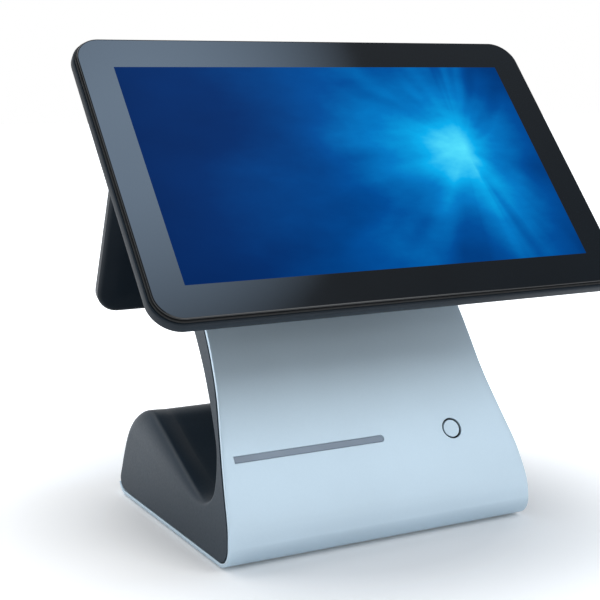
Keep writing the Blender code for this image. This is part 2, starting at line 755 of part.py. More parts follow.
def hinge_hardware(looks, root, label, at):
    """A headed shaft and the two friction washers between its cheeks and the hinge block."""
    head = SHAFT_HALF - SHAFT_HEAD[0]
    rim = SHAFT_HEAD[1]
    half_profile = [(head, SHAFT_RADIUS), (head, rim), (SHAFT_HALF - 0.8, rim), (SHAFT_HALF, rim - 1.0),
                    (SHAFT_HALF, 0.0)]
    profile = [(-x, radius) for x, radius in reversed(half_profile)] + half_profile
    smooth(finish(f"{label}_hinge_shaft", turned(profile, 24), looks["steel"], root, (0.0, *at)))
    for side, word in ((-1, "left"), (1, "right")):
        span = sorted((side * (BLOCK_HALF + GAP), side * WASHER[0]))
        washer = finish(f"{label}_washer_{word}", disc((0.0, 0.0), WASHER[1], span, 24), looks["steel"], root,
                        (0.0, *at))
        hole = disc((0.0, 0.0), SHAFT_RADIUS + GAP, (-SHAFT_HALF, SHAFT_HALF), 24)
        boolean(washer, finish(f"{label}_washer_cutter_{word}", hole, looks["steel"], root, (0.0, *at)))
        smooth(washer)


def power_button(looks, root, face):
    """The cap in its round hole, the black guide ring round it and the low switch behind it."""
    place = (BUTTON_X, 0.0, 0.0)
    cap = slab(circle((0.0, 0.0), BUTTON_RADIUS, 28), BUTTON_RECESS, BUTTON_BACK)
    smooth(bevel(finish("power_button", cap, looks["aluminium"], face, place), 0.4))
    outside = BUTTON_HOLE - GAP
    flange = outside + GUIDE_FLANGE
    steps = [(GUIDE_FRONT, outside), (GUIDE_STEP, outside), (GUIDE_STEP, flange), (GUIDE_BACK, flange)]
    ring = turned_ring(BUTTON_RADIUS + GAP, steps)
    smooth(finish("button_guide", ring, looks["gasket"], face, place))
    switch = block((-SWITCH_HALF, SWITCH_HALF), SWITCH_DEPTHS, (-SWITCH_HALF, SWITCH_HALF))
    finish("power_switch", switch, looks["socket"], face, place)


def turned_ring(bore, profile, sides=28):
    """A ring about the cover's normal, with a straight bore and a stepped outside as (depth, radius)."""
    bm = bmesh.new()
    section = [(profile[0][0], bore)] + profile + [(profile[-1][0], bore)]
    rings = []
    for depth, radius in section:
        rings.append([bm.verts.new((x, depth, z)) for x, z in circle((0.0, 0.0), radius, sides)])
    for near, far in zip(rings, rings[1:] + rings[:1]):
        bridge(bm, near, far)
    return bm


def light_bar(looks, face):
    """The diffuser in the cover's slot and the strip of lamps behind it."""
    finish("light_bar", slot_solid(GAP, 0.3, 2.7), looks["lens"], face)
    strip = block((SLOT_FROM + 3.0, SLOT_TO - 3.0), (3.4, 4.3), (-3.0, 3.0))
    finish("light_board", strip, looks["board"], face)


def socket(looks, root, name, x, body, openings):
    """A connector shell in the rear recess, open to the back, from (z offset, width, height) openings."""
    width, height = body
    outer = block((x - width / 2, x + width / 2), (RECESS_BACK + SOCKET_PROUD + PANEL_SHEET - SOCKET_DEPTH,
                  RECESS_BACK + PANEL_SHEET + SOCKET_PROUD), (SOCKETS_Z - height / 2, SOCKETS_Z + height / 2))
    shell = finish(name, outer, looks["socket"], root)
    mouth = RECESS_BACK + PANEL_SHEET + SOCKET_PROUD
    for i, (dz, wide, tall) in enumerate(openings):
        hole = block((x - wide / 2, x + wide / 2), (mouth - MOUTH_DEPTH, mouth + CUT_PAST),
                     (SOCKETS_Z + dz - tall / 2, SOCKETS_Z + dz + tall / 2))
        boolean(shell, finish(f"{name}_cutter_{i}", hole, looks["socket"], root))
    return shell


def power_socket(looks, root):
    """The round inlet for the power supply's plug."""
    half = POWER_BODY / 2
    mouth = RECESS_BACK + PANEL_SHEET + SOCKET_PROUD
    shell = finish("power_socket", block((POWER_X - half, POWER_X + half), (mouth - SOCKET_DEPTH, mouth),
                   (SOCKETS_Z - half, SOCKETS_Z + half)), looks["socket"], root)
    bore = slab(circle((0.0, 0.0), POWER_BORE, 24), mouth - POWER_BORE_DEPTH, mouth + CUT_PAST)
    return boolean(shell, finish("power_bore", bore, looks["socket"], root, (POWER_X, 0.0, SOCKETS_Z)))


def socket_bodies():
    """Each socket's (x, width, height), for the holes in the recess's back."""
    plain = [(x, wide, tall) for _, x, wide, tall, _, _ in SOCKETS]
    return plain + [(x, *USB_BODY) for _, x in USB_SOCKETS] + [(POWER_X, POWER_BODY, POWER_BODY)]


def connector_recess(looks, root):
    """The pan in the rear wall that the sockets look out of, and the sockets."""
    low, high = RECESS_Z
    outline = [(RECESS_BACK, low), (RECESS_MOUTH[0], low), (RECESS_MOUTH[1], high), (RECESS_BACK, high)]
    pan = finish("connector_recess", prism(outline, -RECESS_HALF, RECESS_HALF), looks["socket"], root)
    back = RECESS_BACK + PANEL_SHEET
    inside = block((PANEL_SHEET - RECESS_HALF, RECESS_HALF - PANEL_SHEET), (back, REAR_PAST),
                   (low + PANEL_SHEET, high - PANEL_SHEET))
    boolean(pan, finish("recess_cutter", inside, looks["socket"], root))
    for i, (x, wide, tall) in enumerate(socket_bodies()):
        hole = block((x - wide / 2 - GAP, x + wide / 2 + GAP), (RECESS_BACK - CUT_PAST, back + CUT_PAST),
                     (SOCKETS_Z - tall / 2 - GAP, SOCKETS_Z + tall / 2 + GAP))
        boolean(pan, finish(f"socket_hole_{i}", hole, looks["socket"], root))
    for name, x, wide, tall, open_wide, open_tall in SOCKETS:
        socket(looks, root, name, x, (wide, tall), [(0.0, open_wide, open_tall)])
    for name, x in USB_SOCKETS:
        levels = [(side * USB_PITCH / 2, *USB_OPENING) for side in (-1, 1)]
        socket(looks, root, name, x, USB_BODY, levels)
    power_socket(looks, root)


def heat_sink(looks, root):
    """A finned block on the processor."""
    bottom = BOARD_Z[1] + GAP
    web, tip = bottom + SINK_WEB, bottom + SINK_HEIGHT
    outline = [(SINK_Y, bottom), (SINK_Y, tip)]
    for fin in range(SINK_FINS - 1):
        y = SINK_Y + fin * SINK_PITCH
        outline += [(y + SINK_FIN, tip), (y + SINK_FIN, web), (y + SINK_PITCH, web), (y + SINK_PITCH, tip)]
    end = SINK_Y + (SINK_FINS - 1) * SINK_PITCH + SINK_FIN
    outline += [(end, tip), (end, bottom)]
    return finish("heat_sink", prism(outline, -SINK_HALF, SINK_HALF), looks["sink"], root)


def base_insides(looks, root):
    """What the base holds: ballast, main board, its modules and a speaker."""
    for name, look, x, y, z in INSIDES:
        finish(name, block(x, y, z), looks[look], root)
    heat_sink(looks, root)


def feet(looks, root):
    for name, x, y in FEET:
        bm = bmesh.new()
        rims = [(0.0, FOOT_RADIUS - 0.4), (UNDERSIDE - GAP, FOOT_RADIUS)]
        rings = [[bm.verts.new((px, py, z)) for px, py in circle((x, y), radius, 24)] for z, radius in rims]
        bridge(bm, *rings)
        for ring in rings:
            bm.faces.new(ring)
        smooth(finish(name, bm, looks["rubber"], root))


def clear_scene():
    for obj in list(bpy.data.objects):
        bpy.data.objects.remove(obj, do_unlink=True)


def display_pivot(centre, tilt, pivot, facing):
    """Where a display's hinge lies in the stand's (y, z), facing -1 for the operator, 1 for the customer."""
    depth, up = pivot
    along, rise = -facing * depth * math.cos(tilt), -depth * math.sin(tilt)
    return (centre[0] + along - facing * up * math.sin(tilt), centre[1] + rise + up * math.cos(tilt))


def main():
    clear_scene()
    looks = make_materials()
    root = empty("terminal", None, (0.0, TO_ORIGIN, 0.0))
    head_at = display_pivot(HEAD_CENTRE, HEAD_TILT, HEAD_PIVOT, -1)
    customer_at = display_pivot(CUSTOMER_CENTRE, CUSTOMER_TILT, CUSTOMER_PIVOT, 1)
    make_head(looks, empty("head_hinge_axis", root, (0.0, *head_at), (-HEAD_TILT, 0.0, 0.0)))
    turn = (-CUSTOMER_TILT, 0.0, math.pi)
    make_customer(looks, empty("customer_hinge_axis", root, (0.0, *customer_at), turn))
    (y, z), up = controls_place()
    face = empty("controls_face", root, (0.0, y, z), (-math.atan2(up.x, up.y), 0.0, 0.0))
    front_cover(looks, root, face)
    base_body(looks, root)
    stem_cap(looks, root)
    stem_frame(looks, root)
    hinge_block(looks, root, head_at, customer_at)
    hinge_hardware(looks, root, "head", head_at)
    hinge_hardware(looks, root, "customer", customer_at)
    power_button(looks, root, face)
    light_bar(looks, face)
    connector_recess(looks, root)
    base_insides(looks, root)
    feet(looks, root)


main()
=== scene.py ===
"""The looks of a two-sided point-of-sale terminal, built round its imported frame.

Lengths are in millimetres, which MM turns into metres. The stand is drawn in the frame's axes, with Y counted
from the line where the front cover meets the counter. Each display is drawn in its own frame: X across, Y the
depth behind the glass, Z up the screen, from the middle of its picture.
"""

import json
import math

import bmesh
import bpy
from mathutils import Matrix, Vector


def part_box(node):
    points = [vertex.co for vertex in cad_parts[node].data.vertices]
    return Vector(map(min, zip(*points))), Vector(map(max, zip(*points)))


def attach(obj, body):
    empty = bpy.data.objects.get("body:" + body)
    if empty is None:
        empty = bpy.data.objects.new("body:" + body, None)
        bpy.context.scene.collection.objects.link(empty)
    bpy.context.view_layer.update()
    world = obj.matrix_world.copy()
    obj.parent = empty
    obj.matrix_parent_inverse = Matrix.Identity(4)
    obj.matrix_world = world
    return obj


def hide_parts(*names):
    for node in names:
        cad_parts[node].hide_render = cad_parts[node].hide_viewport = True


MM = 0.001
HERE = Matrix.Identity(4)
METAL = (HERE, "base", "plated_steel")
QUARTER = math.pi / 2

# Displays: outlines as (half width, bottom, top), vents as (count, height, middle) and the bracket's plate as
# (half width, bottom, top, thickness)
HEAD = {
    "name": "head", "body": "head", "tilt": 41.2, "turn": 0.0, "pivot": (94.0, 10.0),
    "glass": (198.0, -123.2, 124.2), "rim": (200.7, -126.8, 126.0), "corner": 20.6,
    "picture": (172.1, -96.8, 96.8), "bulge": (122.0, -78.0, 74.0), "depth": 34.0,
    "vents": (13, 20.0, 52.0), "plate": (48.0, -36.0, 40.0, 3.0),
}
CUSTOMER = {
    "name": "customer", "body": "customer_display", "tilt": 24.5, "turn": 180.0, "pivot": (50.0, 4.0),
    "glass": (147.8, -95.6, 96.9), "rim": (150.5, -98.7, 98.7), "corner": 18.6,
    "picture": (128.0, -72.0, 72.0), "bulge": (82.0, -52.0, 46.0), "depth": 22.0,
    "vents": (9, 12.0, 32.0), "plate": (45.0, -20.0, 26.0, 2.5),
}
# The glass's edge from back to front, as (depth, growth of the glass's outline)
GLASS_EDGE = [
    (2.0, -0.5), (1.85, -0.12), (1.6, 0.0), (0.55, 0.0), (0.3, -0.1), (0.12, -0.3), (0.0, -0.55), (0.0, -1.2),
]
CORNER_STEPS = 20
SEAM = (2.05, 3.5)
SEAM_GROWTH = 1.1
SHELL_FRONT = 3.6
SHELL_SIDE = 9.0
SHELL_LEAN = 1.4
SHELL_SLOPE = 12.4
SHELL_WALL = 2.0
VENT_PITCH = 8.0
VENT_HALF = 1.2
# Shroud round the operator's bracket: half width, (bottom, top) at both ends, and how far short of the hinge
ARM_COVER = (47.0, (-40.0, 45.0), (-15.0, 30.0), 15.0)
ARM_COVER_FROM = 3.9
ARM_COVER_WALL = 2.4

# Hinges
CHEEK = (37.8, 41.0)
CHEEK_ROUND = 10.0
BORE_RADIUS = 4.3
SHAFT_RADIUS = 4.0
SHAFT_HALF = 47.0
SHAFT_HEAD = (43.0, 7.0)
WASHER = (34.3, 37.4, 9.0)
CASTING_HALF = 34.0
CASTING_ACROSS = (6.6, 14.0)

# Stand, as (y, z): the cover's outside, the moulding's crest and the edge of its flat sides. FRONT_REACH says
# how far down the cover's inside each station is met.
COVER_SHEET = 3.0
BODY_GAP = 1.0
UNDERSIDE = 1.5
FRONT_RADIUS = 17.0
FRONT_CENTRE = (4.2, UNDERSIDE + FRONT_RADIUS)
COVER_FRONT = [
    (113.0, 216.0), (94.4, 198.2), (76.1, 180.0), (60.5, 160.0), (47.8, 140.0), (36.3, 120.0), (24.7, 100.0),
    (12.6, 80.0), (0.6, 60.0), (-8.9, 40.0), (-11.8, 30.0), (-12.8, 18.5),
]
REAR_RADIUS = 14.0
REAR_CENTRE = (201.5, UNDERSIDE + REAR_RADIUS)
REAR_END = 335.0
HALF_WIDTH = [
    (0.0, 134.8), (30.0, 133.8), (60.0, 130.8), (90.0, 125.2), (120.0, 119.6), (150.0, 116.7), (190.0, 114.4),
    (230.0, 113.2),
]
CREST = [
    (127.7, 199.8), (104.5, 178.6), (87.1, 158.7), (70.7, 138.8), (55.8, 118.8), (39.7, 99.8), (27.8, 84.2),
    (21.6, 69.6), (20.4, 60.0), (22.1, 52.0), (28.6, 45.6), (40.6, 42.4), (61.0, 46.2), (99.0, 60.0),
    (140.0, 75.3), (160.0, 81.2), (176.0, 80.0), (191.0, 71.5), (201.0, 59.0), (207.0, 43.0), (210.2, 28.0),
    (212.6, 15.0), (208.6, 8.6), (200.0, 5.8),
]
FLAT_EDGE = [
    (126.1, 201.4), (102.9, 180.2), (85.4, 160.3), (68.9, 140.4), (53.9, 120.4), (37.6, 101.4), (25.4, 85.4),
    (18.9, 70.0), (17.4, 59.2), (18.8, 50.2), (25.4, 43.2), (37.6, 38.2), (59.0, 36.0), (102.0, 41.3),
    (148.0, 51.6), (172.0, 55.4), (183.0, 57.0), (191.0, 56.0), (196.0, 49.0), (201.0, 38.0), (205.8, 26.0),
    (210.2, 14.5), (206.8, 8.8), (198.5, 6.0),
]
FRONT_REACH = [
    3, 33, 60, 89, 115, 140, 160, 181, 197, 211, 222, 234, 262, 312, 372, 402, 415, 423, 429, 433, 436, 438,
    440, 441,
]
CREST_INSET = 6.0
DISH_WIDTH = 16.0
DISH_DEPTH = 3.0
DISH_Y = (45.0, 185.0)
STEM_SHARE = 0.43
STEM_SWELL = 7.0
STEM_SWELL_Z = (50.0, 190.0)
BODY_WALL = 2.0
BODY_STEPS = 184

# Front controls
CONTROLS_Z = 78.3
BUTTON_X = 74.3
BUTTON_HOLE = 8.6
BUTTON_RADIUS = 7.2
SLOT = (-118.1, 10.5)
SLOT_HEIGHT = 5.4

# What shaded() is told for each finish
FINISHES = {
    "black_glass": dict(colour=(0.0012, 0.0020, 0.0030), roughness=0.06, grain=(55.0, 0.0), blotch=14.0,
                        vary=0.3, sheen=0.015, specular=0.45),
    # Black foam, made near black also as painted shade in the seam round the glass and the gap round the power
    # button
    "black_gasket": dict(colour=(0.003, 0.0035, 0.004), roughness=0.75, grain=(1400.0, 0.03)),
    "screen_panel": dict(colour=(0.01, 0.03, 0.08), roughness=0.3, grain=(2500.0, 0.005)),
    "slate_plastic": dict(colour=(0.0085, 0.021, 0.035), roughness=0.46, grain=(2300.0, 0.012), blotch=11.0,
                          vary=0.10, specular=0.30),
    # A darker, less glossy copy of slate_plastic: painted shade for the display housings and the arm shroud, which
    # sit in shade
    "shaded_slate_plastic": dict(colour=(0.0045, 0.0095, 0.0155), roughness=0.42, grain=(2300.0, 0.012), blotch=11.0,
                         vary=0.10, specular=0.22),
    "satin_aluminium": dict(colour=(0.54, 0.655, 0.74), roughness=0.56, metallic=0.75, grain=(2600.0, 0.008),
                            blotch=7.0, vary=0.035, sheen=0.03),
    "plated_steel": dict(colour=(0.50, 0.51, 0.52), roughness=0.34, metallic=1.0, grain=(700.0, 0.012),
                         blotch=60.0, stretch=(1.0, 6.0, 6.0)),
    "black_metal": dict(colour=(0.018, 0.019, 0.022), roughness=0.42, metallic=0.4, grain=(1100.0, 0.03),
                        blotch=25.0),
    "rubber_feet": dict(colour=(0.013, 0.013, 0.014), roughness=0.82, grain=(1300.0, 0.05), vary=0.2),
    "light_lens": dict(colour=(0.165, 0.215, 0.28), roughness=0.34, grain=(1200.0, 0.01), blotch=22.0,
                       vary=0.08),
    "socket_plastic": dict(colour=(0.012, 0.012, 0.014), roughness=0.48, grain=(1500.0, 0.015), vary=0.15),
    "contact_gold": dict(colour=(0.83, 0.58, 0.22), roughness=0.25, metallic=1.0, grain=(2500.0, 0.004)),
    "shell_nickel": dict(colour=(0.62, 0.62, 0.60), roughness=0.28, metallic=1.0, grain=(900.0, 0.008),
                         blotch=90.0),
    "port_blue": dict(colour=(0.02, 0.10, 0.42), roughness=0.4, grain=(1500.0, 0.01)),
}
# Lit pictures: where the glow sits across and up the screen, and how bright it is
PICTURES = {"head_picture": ((0.80, 0.56), 1.0), "customer_picture": ((0.30, 0.50), 0.9)}


# ---- procedural materials


def node(tree, kind, **settings):
    made = tree.nodes.new(kind)
    for key, value in settings.items():
        if key in made.inputs:
            made.inputs[key].default_value = value
        else:
            setattr(made, key, value)
    return made


def noise(tree, scale, detail=2.0, rough=0.5, stretch=(1.0, 1.0, 1.0)):
    """Noise in the object's own metres, so it moves with its body."""
    coord = node(tree, "ShaderNodeTexCoord")
    mapping = node(tree, "ShaderNodeMapping", Scale=stretch)
    made = node(tree, "ShaderNodeTexNoise", Scale=scale, Detail=detail, Roughness=rough)
    tree.links.new(coord.outputs["Object"], mapping.inputs["Vector"])
    tree.links.new(mapping.outputs["Vector"], made.inputs["Vector"])
    return made.outputs["Fac"]


def spread(tree, source, low, high, start=0.3, end=0.7):
    """Turns a source that lies mostly between start and end into numbers from low to high."""
    made = node(tree, "ShaderNodeMapRange")
    for key, value in (("From Min", start), ("From Max", end), ("To Min", low), ("To Max", high)):
        made.inputs[key].default_value = value
    tree.links.new(source, made.inputs["Value"])
    return made.outputs["Result"]


def tinted(tree, source, first, second):
    """A colour between two, by a source from 0 to 1."""
    made = tree.nodes.new("ShaderNodeMix")
    made.data_type = "RGBA"
    made.inputs[6].default_value = (*first, 1.0)
    made.inputs[7].default_value = (*second, 1.0)
    tree.links.new(source, made.inputs[0])
    return made.outputs[2]


def new_material(name):
    made = bpy.data.materials.new(name)
    made.use_nodes = True
    return made, made.node_tree, made.node_tree.nodes["Principled BSDF"]


def shaded(name, colour, roughness, metallic=0.0, grain=(900.0, 0.02), blotch=9.0, vary=0.12, sheen=0.05,
           stretch=(1.0, 1.0, 1.0), specular=0.5):
    """A surface with a fine bump of so many millimetres, a broad drift of colour and an uneven sheen."""
    made, tree, shader = new_material(name)
    shader.inputs["Metallic"].default_value = metallic
    shader.inputs["Specular IOR Level"].default_value = specular
    broad = spread(tree, noise(tree, blotch, 3.0), 0.0, 1.0)
    darker = [channel * (1.0 - vary) for channel in colour]
    lighter = [min(channel * (1.0 + vary), 1.0) for channel in colour]
    tree.links.new(tinted(tree, broad, darker, lighter), shader.inputs["Base Color"])
    fine = noise(tree, grain[0], 3.0, 0.6, stretch)
    patches = noise(tree, grain[0] * 0.23, 4.0, 0.6, stretch)
    uneven = spread(tree, patches, roughness - sheen, roughness + sheen)
    tree.links.new(uneven, shader.inputs["Roughness"])
    bump = node(tree, "ShaderNodeBump", Strength=1.0, Distance=grain[1] * MM)
    tree.links.new(fine, bump.inputs["Height"])
    tree.links.new(bump.outputs["Normal"], shader.inputs["Normal"])
    return made


def ramp(tree, source, stops):
    made = tree.nodes.new("ShaderNodeValToRGB")
    elements = made.color_ramp.elements
    for place, colour in stops[2:]:
        elements.new(place)
    for element, (place, colour) in zip(elements, stops):
        element.position = place
        element.color = (*colour, 1.0)
    tree.links.new(source, made.inputs["Fac"])
    return made.outputs["Color"]


def picture_look(name, source, strength):
    """A lit display: an abstract blue glow whose soft beams fan out of one bright place."""
    made, tree, shader = new_material(name)
    shader.inputs["Base Color"].default_value = (0.0005, 0.001, 0.002, 1.0)
    shader.inputs["Roughness"].default_value = 0.05
    shader.inputs["Specular IOR Level"].default_value = 0.01
    coord = node(tree, "ShaderNodeTexCoord")
    parts = tree.nodes.new("ShaderNodeSeparateXYZ")
    tree.links.new(coord.outputs["UV"], parts.inputs["Vector"])

    def result(operation, first, second=0.0):
        sums = node(tree, "ShaderNodeMath", operation=operation)
        for socket, value in zip(sums.inputs, (first, second)):
            if isinstance(value, float):
                socket.default_value = value
            else:
                tree.links.new(value, socket)
        return sums.outputs[0]

    across = result("MULTIPLY", result("SUBTRACT", parts.outputs["X"], source[0]), 1.78)
    across = result("MAXIMUM", across, result("MULTIPLY", across, 2.3))
    up = result("SUBTRACT", parts.outputs["Y"], source[1])
    far = result("SQRT", result("ADD", result("MULTIPLY", across, across), result("MULTIPLY", up, up)))
    way = tree.nodes.new("ShaderNodeCombineXYZ")
    tree.links.new(result("DIVIDE", across, far), way.inputs["X"])
    tree.links.new(result("DIVIDE", up, far), way.inputs["Y"])
    tree.links.new(result("MULTIPLY", far, 0.5), way.inputs["Z"])
    beams = node(tree, "ShaderNodeTexNoise", Scale=1.9, Detail=2.0, Roughness=0.5)
    tree.links.new(way.outputs["Vector"], beams.inputs["Vector"])
    smoke = node(tree, "ShaderNodeTexNoise", Scale=3.2, Detail=5.0, Roughness=0.6)
    tree.links.new(coord.outputs["UV"], smoke.inputs["Vector"])
    glow = result("POWER", 2.718, result("MULTIPLY", far, -1.25))
    core = result("POWER", 2.718, result("MULTIPLY", result("MULTIPLY", far, far), -14.0))
    streaks = spread(tree, beams.outputs["Fac"], -0.34, 0.08, 0.34, 0.62)
    streaks = result("MULTIPLY", streaks, spread(tree, far, 0.0, 1.0, 0.05, 0.55))
    lit = result("MULTIPLY", glow, result("ADD", streaks, 0.96))
    lit = result("MULTIPLY", lit, spread(tree, smoke.outputs["Fac"], 0.84, 1.12))
    lit = result("ADD", lit, result("MULTIPLY", core, 0.07))
    blue = ramp(tree, lit, [
        (0.0, (0.0, 0.006, 0.05)), (0.2, (0.0, 0.026, 0.145)), (0.4, (0.0, 0.075, 0.32)),
        (0.6, (0.001, 0.19, 0.56)), (0.8, (0.003, 0.42, 0.85)), (1.0, (0.10, 0.78, 1.0)),
    ])
    tree.links.new(blue, shader.inputs["Emission Color"])
    shader.inputs["Emission Strength"].default_value = strength
    return made


def board_look():
    """Green solder resist over copper tracks."""
    made = shaded("circuit_board", (0.012, 0.085, 0.04), 0.42, grain=(1500.0, 0.02), blotch=40.0, vary=0.25)
    tree = made.node_tree
    shader = tree.nodes["Principled BSDF"]
    coord = node(tree, "ShaderNodeTexCoord")
    bricks = node(tree, "ShaderNodeTexBrick", Scale=160.0)
    bricks.inputs["Color1"].default_value = (0.010, 0.075, 0.035, 1.0)
    bricks.inputs["Color2"].default_value = (0.016, 0.110, 0.052, 1.0)
    bricks.inputs["Mortar"].default_value = (0.03, 0.17, 0.08, 1.0)
    tree.links.new(coord.outputs["Object"], bricks.inputs["Vector"])
    tree.links.new(bricks.outputs["Color"], shader.inputs["Base Color"])
    return made


def make_looks():
    made = {name: shaded(name, **finish) for name, finish in FINISHES.items()}
    made["circuit_board"] = board_look()
    for name, (source, strength) in PICTURES.items():
        made[name] = picture_look(name, source, strength)
    return made


# ---- shapes


def loft(rings, caps=(True, True), wrap=False):
    """Rings of the same number of points, joined in turn."""
    bm = bmesh.new()
    placed = [[bm.verts.new(point) for point in ring] for ring in rings]
    following = placed[1:] + (placed[:1] if wrap else [])
    for near, far in zip(placed, following):
        for i in range(len(near)):
            j = (i + 1) % len(near)
            bm.faces.new((near[i], near[j], far[j], far[i]))
    for wanted, ring in zip(caps, (placed[0], placed[-1])):
        if wanted and not wrap:
            bm.faces.new(ring)
    return bm


def merged(parts):
    """Several shapes as one mesh."""
    whole = bmesh.new()
    for part in parts:
        mesh = bpy.data.meshes.new("part")
        part.to_mesh(mesh)
        part.free()
        whole.from_mesh(mesh)
        bpy.data.meshes.remove(mesh)
    return whole


def prism(outline, low, high):
    """A closed (y, z) outline stretched along X."""
    return loft([[(x, y, z) for y, z in outline] for x in (low, high)])


def at_depth(outline, depth):
    return [(x, depth, z) for x, z in outline]


def slab(outline, front, back):
    """A closed (x, z) outline stretched along Y."""
    return loft([at_depth(outline, depth) for depth in (front, back)])


def circle(centre, radius, sides=64):
    turn = [2 * math.pi * i / sides for i in range(sides)]
    return [(centre[0] + radius * math.cos(a), centre[1] + radius * math.sin(a)) for a in turn]


def arc(centre, radius, start, end, steps):
    turn = [math.radians(start + (end - start) * i / steps) for i in range(steps + 1)]
    return [(centre[0] + radius * math.cos(a), centre[1] + radius * math.sin(a)) for a in turn]


def turned_x(profile, centre=(0.0, 0.0), sides=64, caps=(True, True), wrap=False):
    """A shape turned about a line along X, from (x, radius) pairs."""
    rings = [[(x, y, z) for y, z in circle(centre, radius, sides)] for x, radius in profile]
    return loft(rings, caps, wrap)


def turned_y(profile, centre=(0.0, 0.0), sides=64, caps=(True, True), wrap=False):
    """A shape turned about a line along Y, from (depth, radius) pairs."""
    rings = [at_depth(circle(centre, radius, sides), depth) for depth, radius in profile]
    return loft(rings, caps, wrap)


def hull(points):
    """The convex outline round some points of a plane."""
    points = sorted(set(points))
    outline = []
    for run in (points, points[::-1]):
        chain = []
        for point in run:
            while len(chain) > 1 and turns_right(chain[-2], chain[-1], point):
                chain.pop()
            chain.append(point)
        outline += chain[:-1]
    return outline


def turns_right(a, b, c):
    return (b[0] - a[0]) * (c[1] - a[1]) - (b[1] - a[1]) * (c[0] - a[0]) <= 0


def rounded(half, low, high, radius, grow=0.0, steps=CORNER_STEPS):
    """A rounded rectangle across a display, as (x, z), grown outwards by grow."""
    half, low, high, radius = half + grow, low - grow, high + grow, max(radius + grow, 0.4)
    corners = [(half - radius, high - radius, 0), (radius - half, high - radius, 90),
               (radius - half, low + radius, 180), (half - radius, low + radius, 270)]
    placed = []
    for x, z, start in corners:
        placed += arc((x, z), radius, start, start + 90, steps)
    return placed


def eased(path, cut, steps=5):
    """A path of equal tuples with each inner corner rounded, starting up to cut away from it."""
    placed = [path[0]]
    for before, corner, after in zip(path, path[1:], path[2:]):
        ends = []
        for other in (before, after):
            share = min(cut / max(math.dist(corner, other), 1e-6), 0.45)
            ends.append([a + (b - a) * share for a, b in zip(corner, other)])
        for step in range(steps + 1):
            t = step / steps
            placed.append(tuple(a * (1 - t) ** 2 + 2 * b * t * (1 - t) + c * t * t
                                for a, b, c in zip(ends[0], corner, ends[1])))
    return placed + [path[-1]]


def catmull(four, t):
    before, start, end, after = four
    return tuple(
        0.5 * (2 * b + (c - a) * t + (2 * a - 5 * b + 4 * c - d) * t * t + (3 * b - a - 3 * c + d) * t ** 3)
        for a, b, c, d in zip(before, start, end, after)
    )


def through(points, steps):
    """A smooth open curve through points, as steps + 1 places."""
    ends = [tuple(2 * a - b for a, b in zip(points[0], points[1]))]
    ends += list(points)
    ends += [tuple(2 * a - b for a, b in zip(points[-1], points[-2]))]
    placed = []
    for step in range(steps + 1):
        where = step / steps * (len(points) - 1)
        index = min(int(where), len(points) - 2)
        placed.append(catmull(ends[index:index + 4], where - index))
    return placed


def offset_line(line, distance):
    placed = []
    for i, (y, z) in enumerate(line):
        before, after = line[max(i - 1, 0)], line[min(i + 1, len(line) - 1)]
        along = Vector((after[0] - before[0], after[1] - before[1])).normalized()
        placed.append((y - along.y * distance, z + along.x * distance))
    return placed


# ---- pieces


def place_mesh(name, bm, materials, matrix, closed=True, sharp=32.0):
    """A mesh drawn in millimetres as an object in the frame's metres."""
    if closed:
        bmesh.ops.recalc_face_normals(bm, faces=bm.faces)
    bmesh.ops.transform(bm, matrix=matrix @ Matrix.Scale(MM, 4), verts=bm.verts)
    mesh = bpy.data.meshes.new(name)
    bm.to_mesh(mesh)
    bm.free()
    for material in materials:
        mesh.materials.append(material)
    mesh.shade_smooth()
    mesh.set_sharp_from_angle(angle=math.radians(sharp))
    obj = bpy.data.objects.new(name, mesh)
    bpy.context.scene.collection.objects.link(obj)
    return obj


def box_mm(name):
    """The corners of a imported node's box, in millimetres."""
    return [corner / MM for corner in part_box(name)]


def belongs(obj, body, slot, *nodes):
    """Says what the piece rides on and which nodes it stands for; its slot is not used."""
    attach(obj, body)
    if nodes:
        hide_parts(*nodes)
    return obj


def piece(name, bm, look, matrix, body, slot, *nodes, **how):
    """A piece in one look that needs no cutting."""
    return belongs(place_mesh(name, bm, [looks[look]], matrix, **how), body, slot, *nodes)


def bevelled(obj, width, segments=3, angle=35.0):
    made = obj.modifiers.new("edges", "BEVEL")
    made.width = width * MM
    made.segments = segments
    made.limit_method = "ANGLE"
    made.angle_limit = math.radians(angle)
    made.harden_normals = True
    return obj


def applied(obj):
    """The object with its modifiers worked into its mesh."""
    graph = bpy.context.evaluated_depsgraph_get()
    mesh = bpy.data.meshes.new_from_object(obj.evaluated_get(graph))
    obj.modifiers.clear()
    obj.data = mesh
    return obj


def combined(obj, operation, shapes):
    """Works (shape, matrix) pairs in millimetres into the object, one after another."""
    look = obj.data.materials[0]
    tools = [place_mesh(f"{obj.name}_tool", shape, [look], matrix) for shape, matrix in shapes]
    for tool in tools:
        made = obj.modifiers.new("boolean", "BOOLEAN")
        made.operation = operation
        made.object = tool
    applied(obj)
    for tool in tools:
        bpy.data.objects.remove(tool)


def cut(obj, *cutters):
    combined(obj, "DIFFERENCE", cutters)
    obj.data.set_sharp_from_angle(angle=math.radians(32.0))
    return obj


def screw_shape(place, radius, tall):
    """A pan-head screw with a hexagonal socket, its head standing up along -Y from place."""
    socket = radius * 0.48
    head = ((0.0, 1.0), (0.55, 0.98), (0.85, 0.86), (1.0, 0.66))
    middle = (place[0], place[2])
    rings = [at_depth(circle(middle, radius * wide, 48), place[1] - tall * rise) for rise, wide in head]
    hexagon = []
    for turn in [2 * math.pi * i / 48 for i in range(48)]:
        reach = socket / math.cos((turn + math.pi / 6) % (math.pi / 3) - math.pi / 6)
        hexagon.append((middle[0] + reach * math.cos(turn), middle[1] + reach * math.sin(turn)))
    rings += [at_depth(hexagon, place[1] - tall), at_depth(hexagon, place[1] - tall * 0.3)]
    return loft(rings)


# ---- displays


def joint_place(child):
    found = next(joint for joint in frame["joints"] if joint["child"] == child)
    return Vector(found["pos_m"])


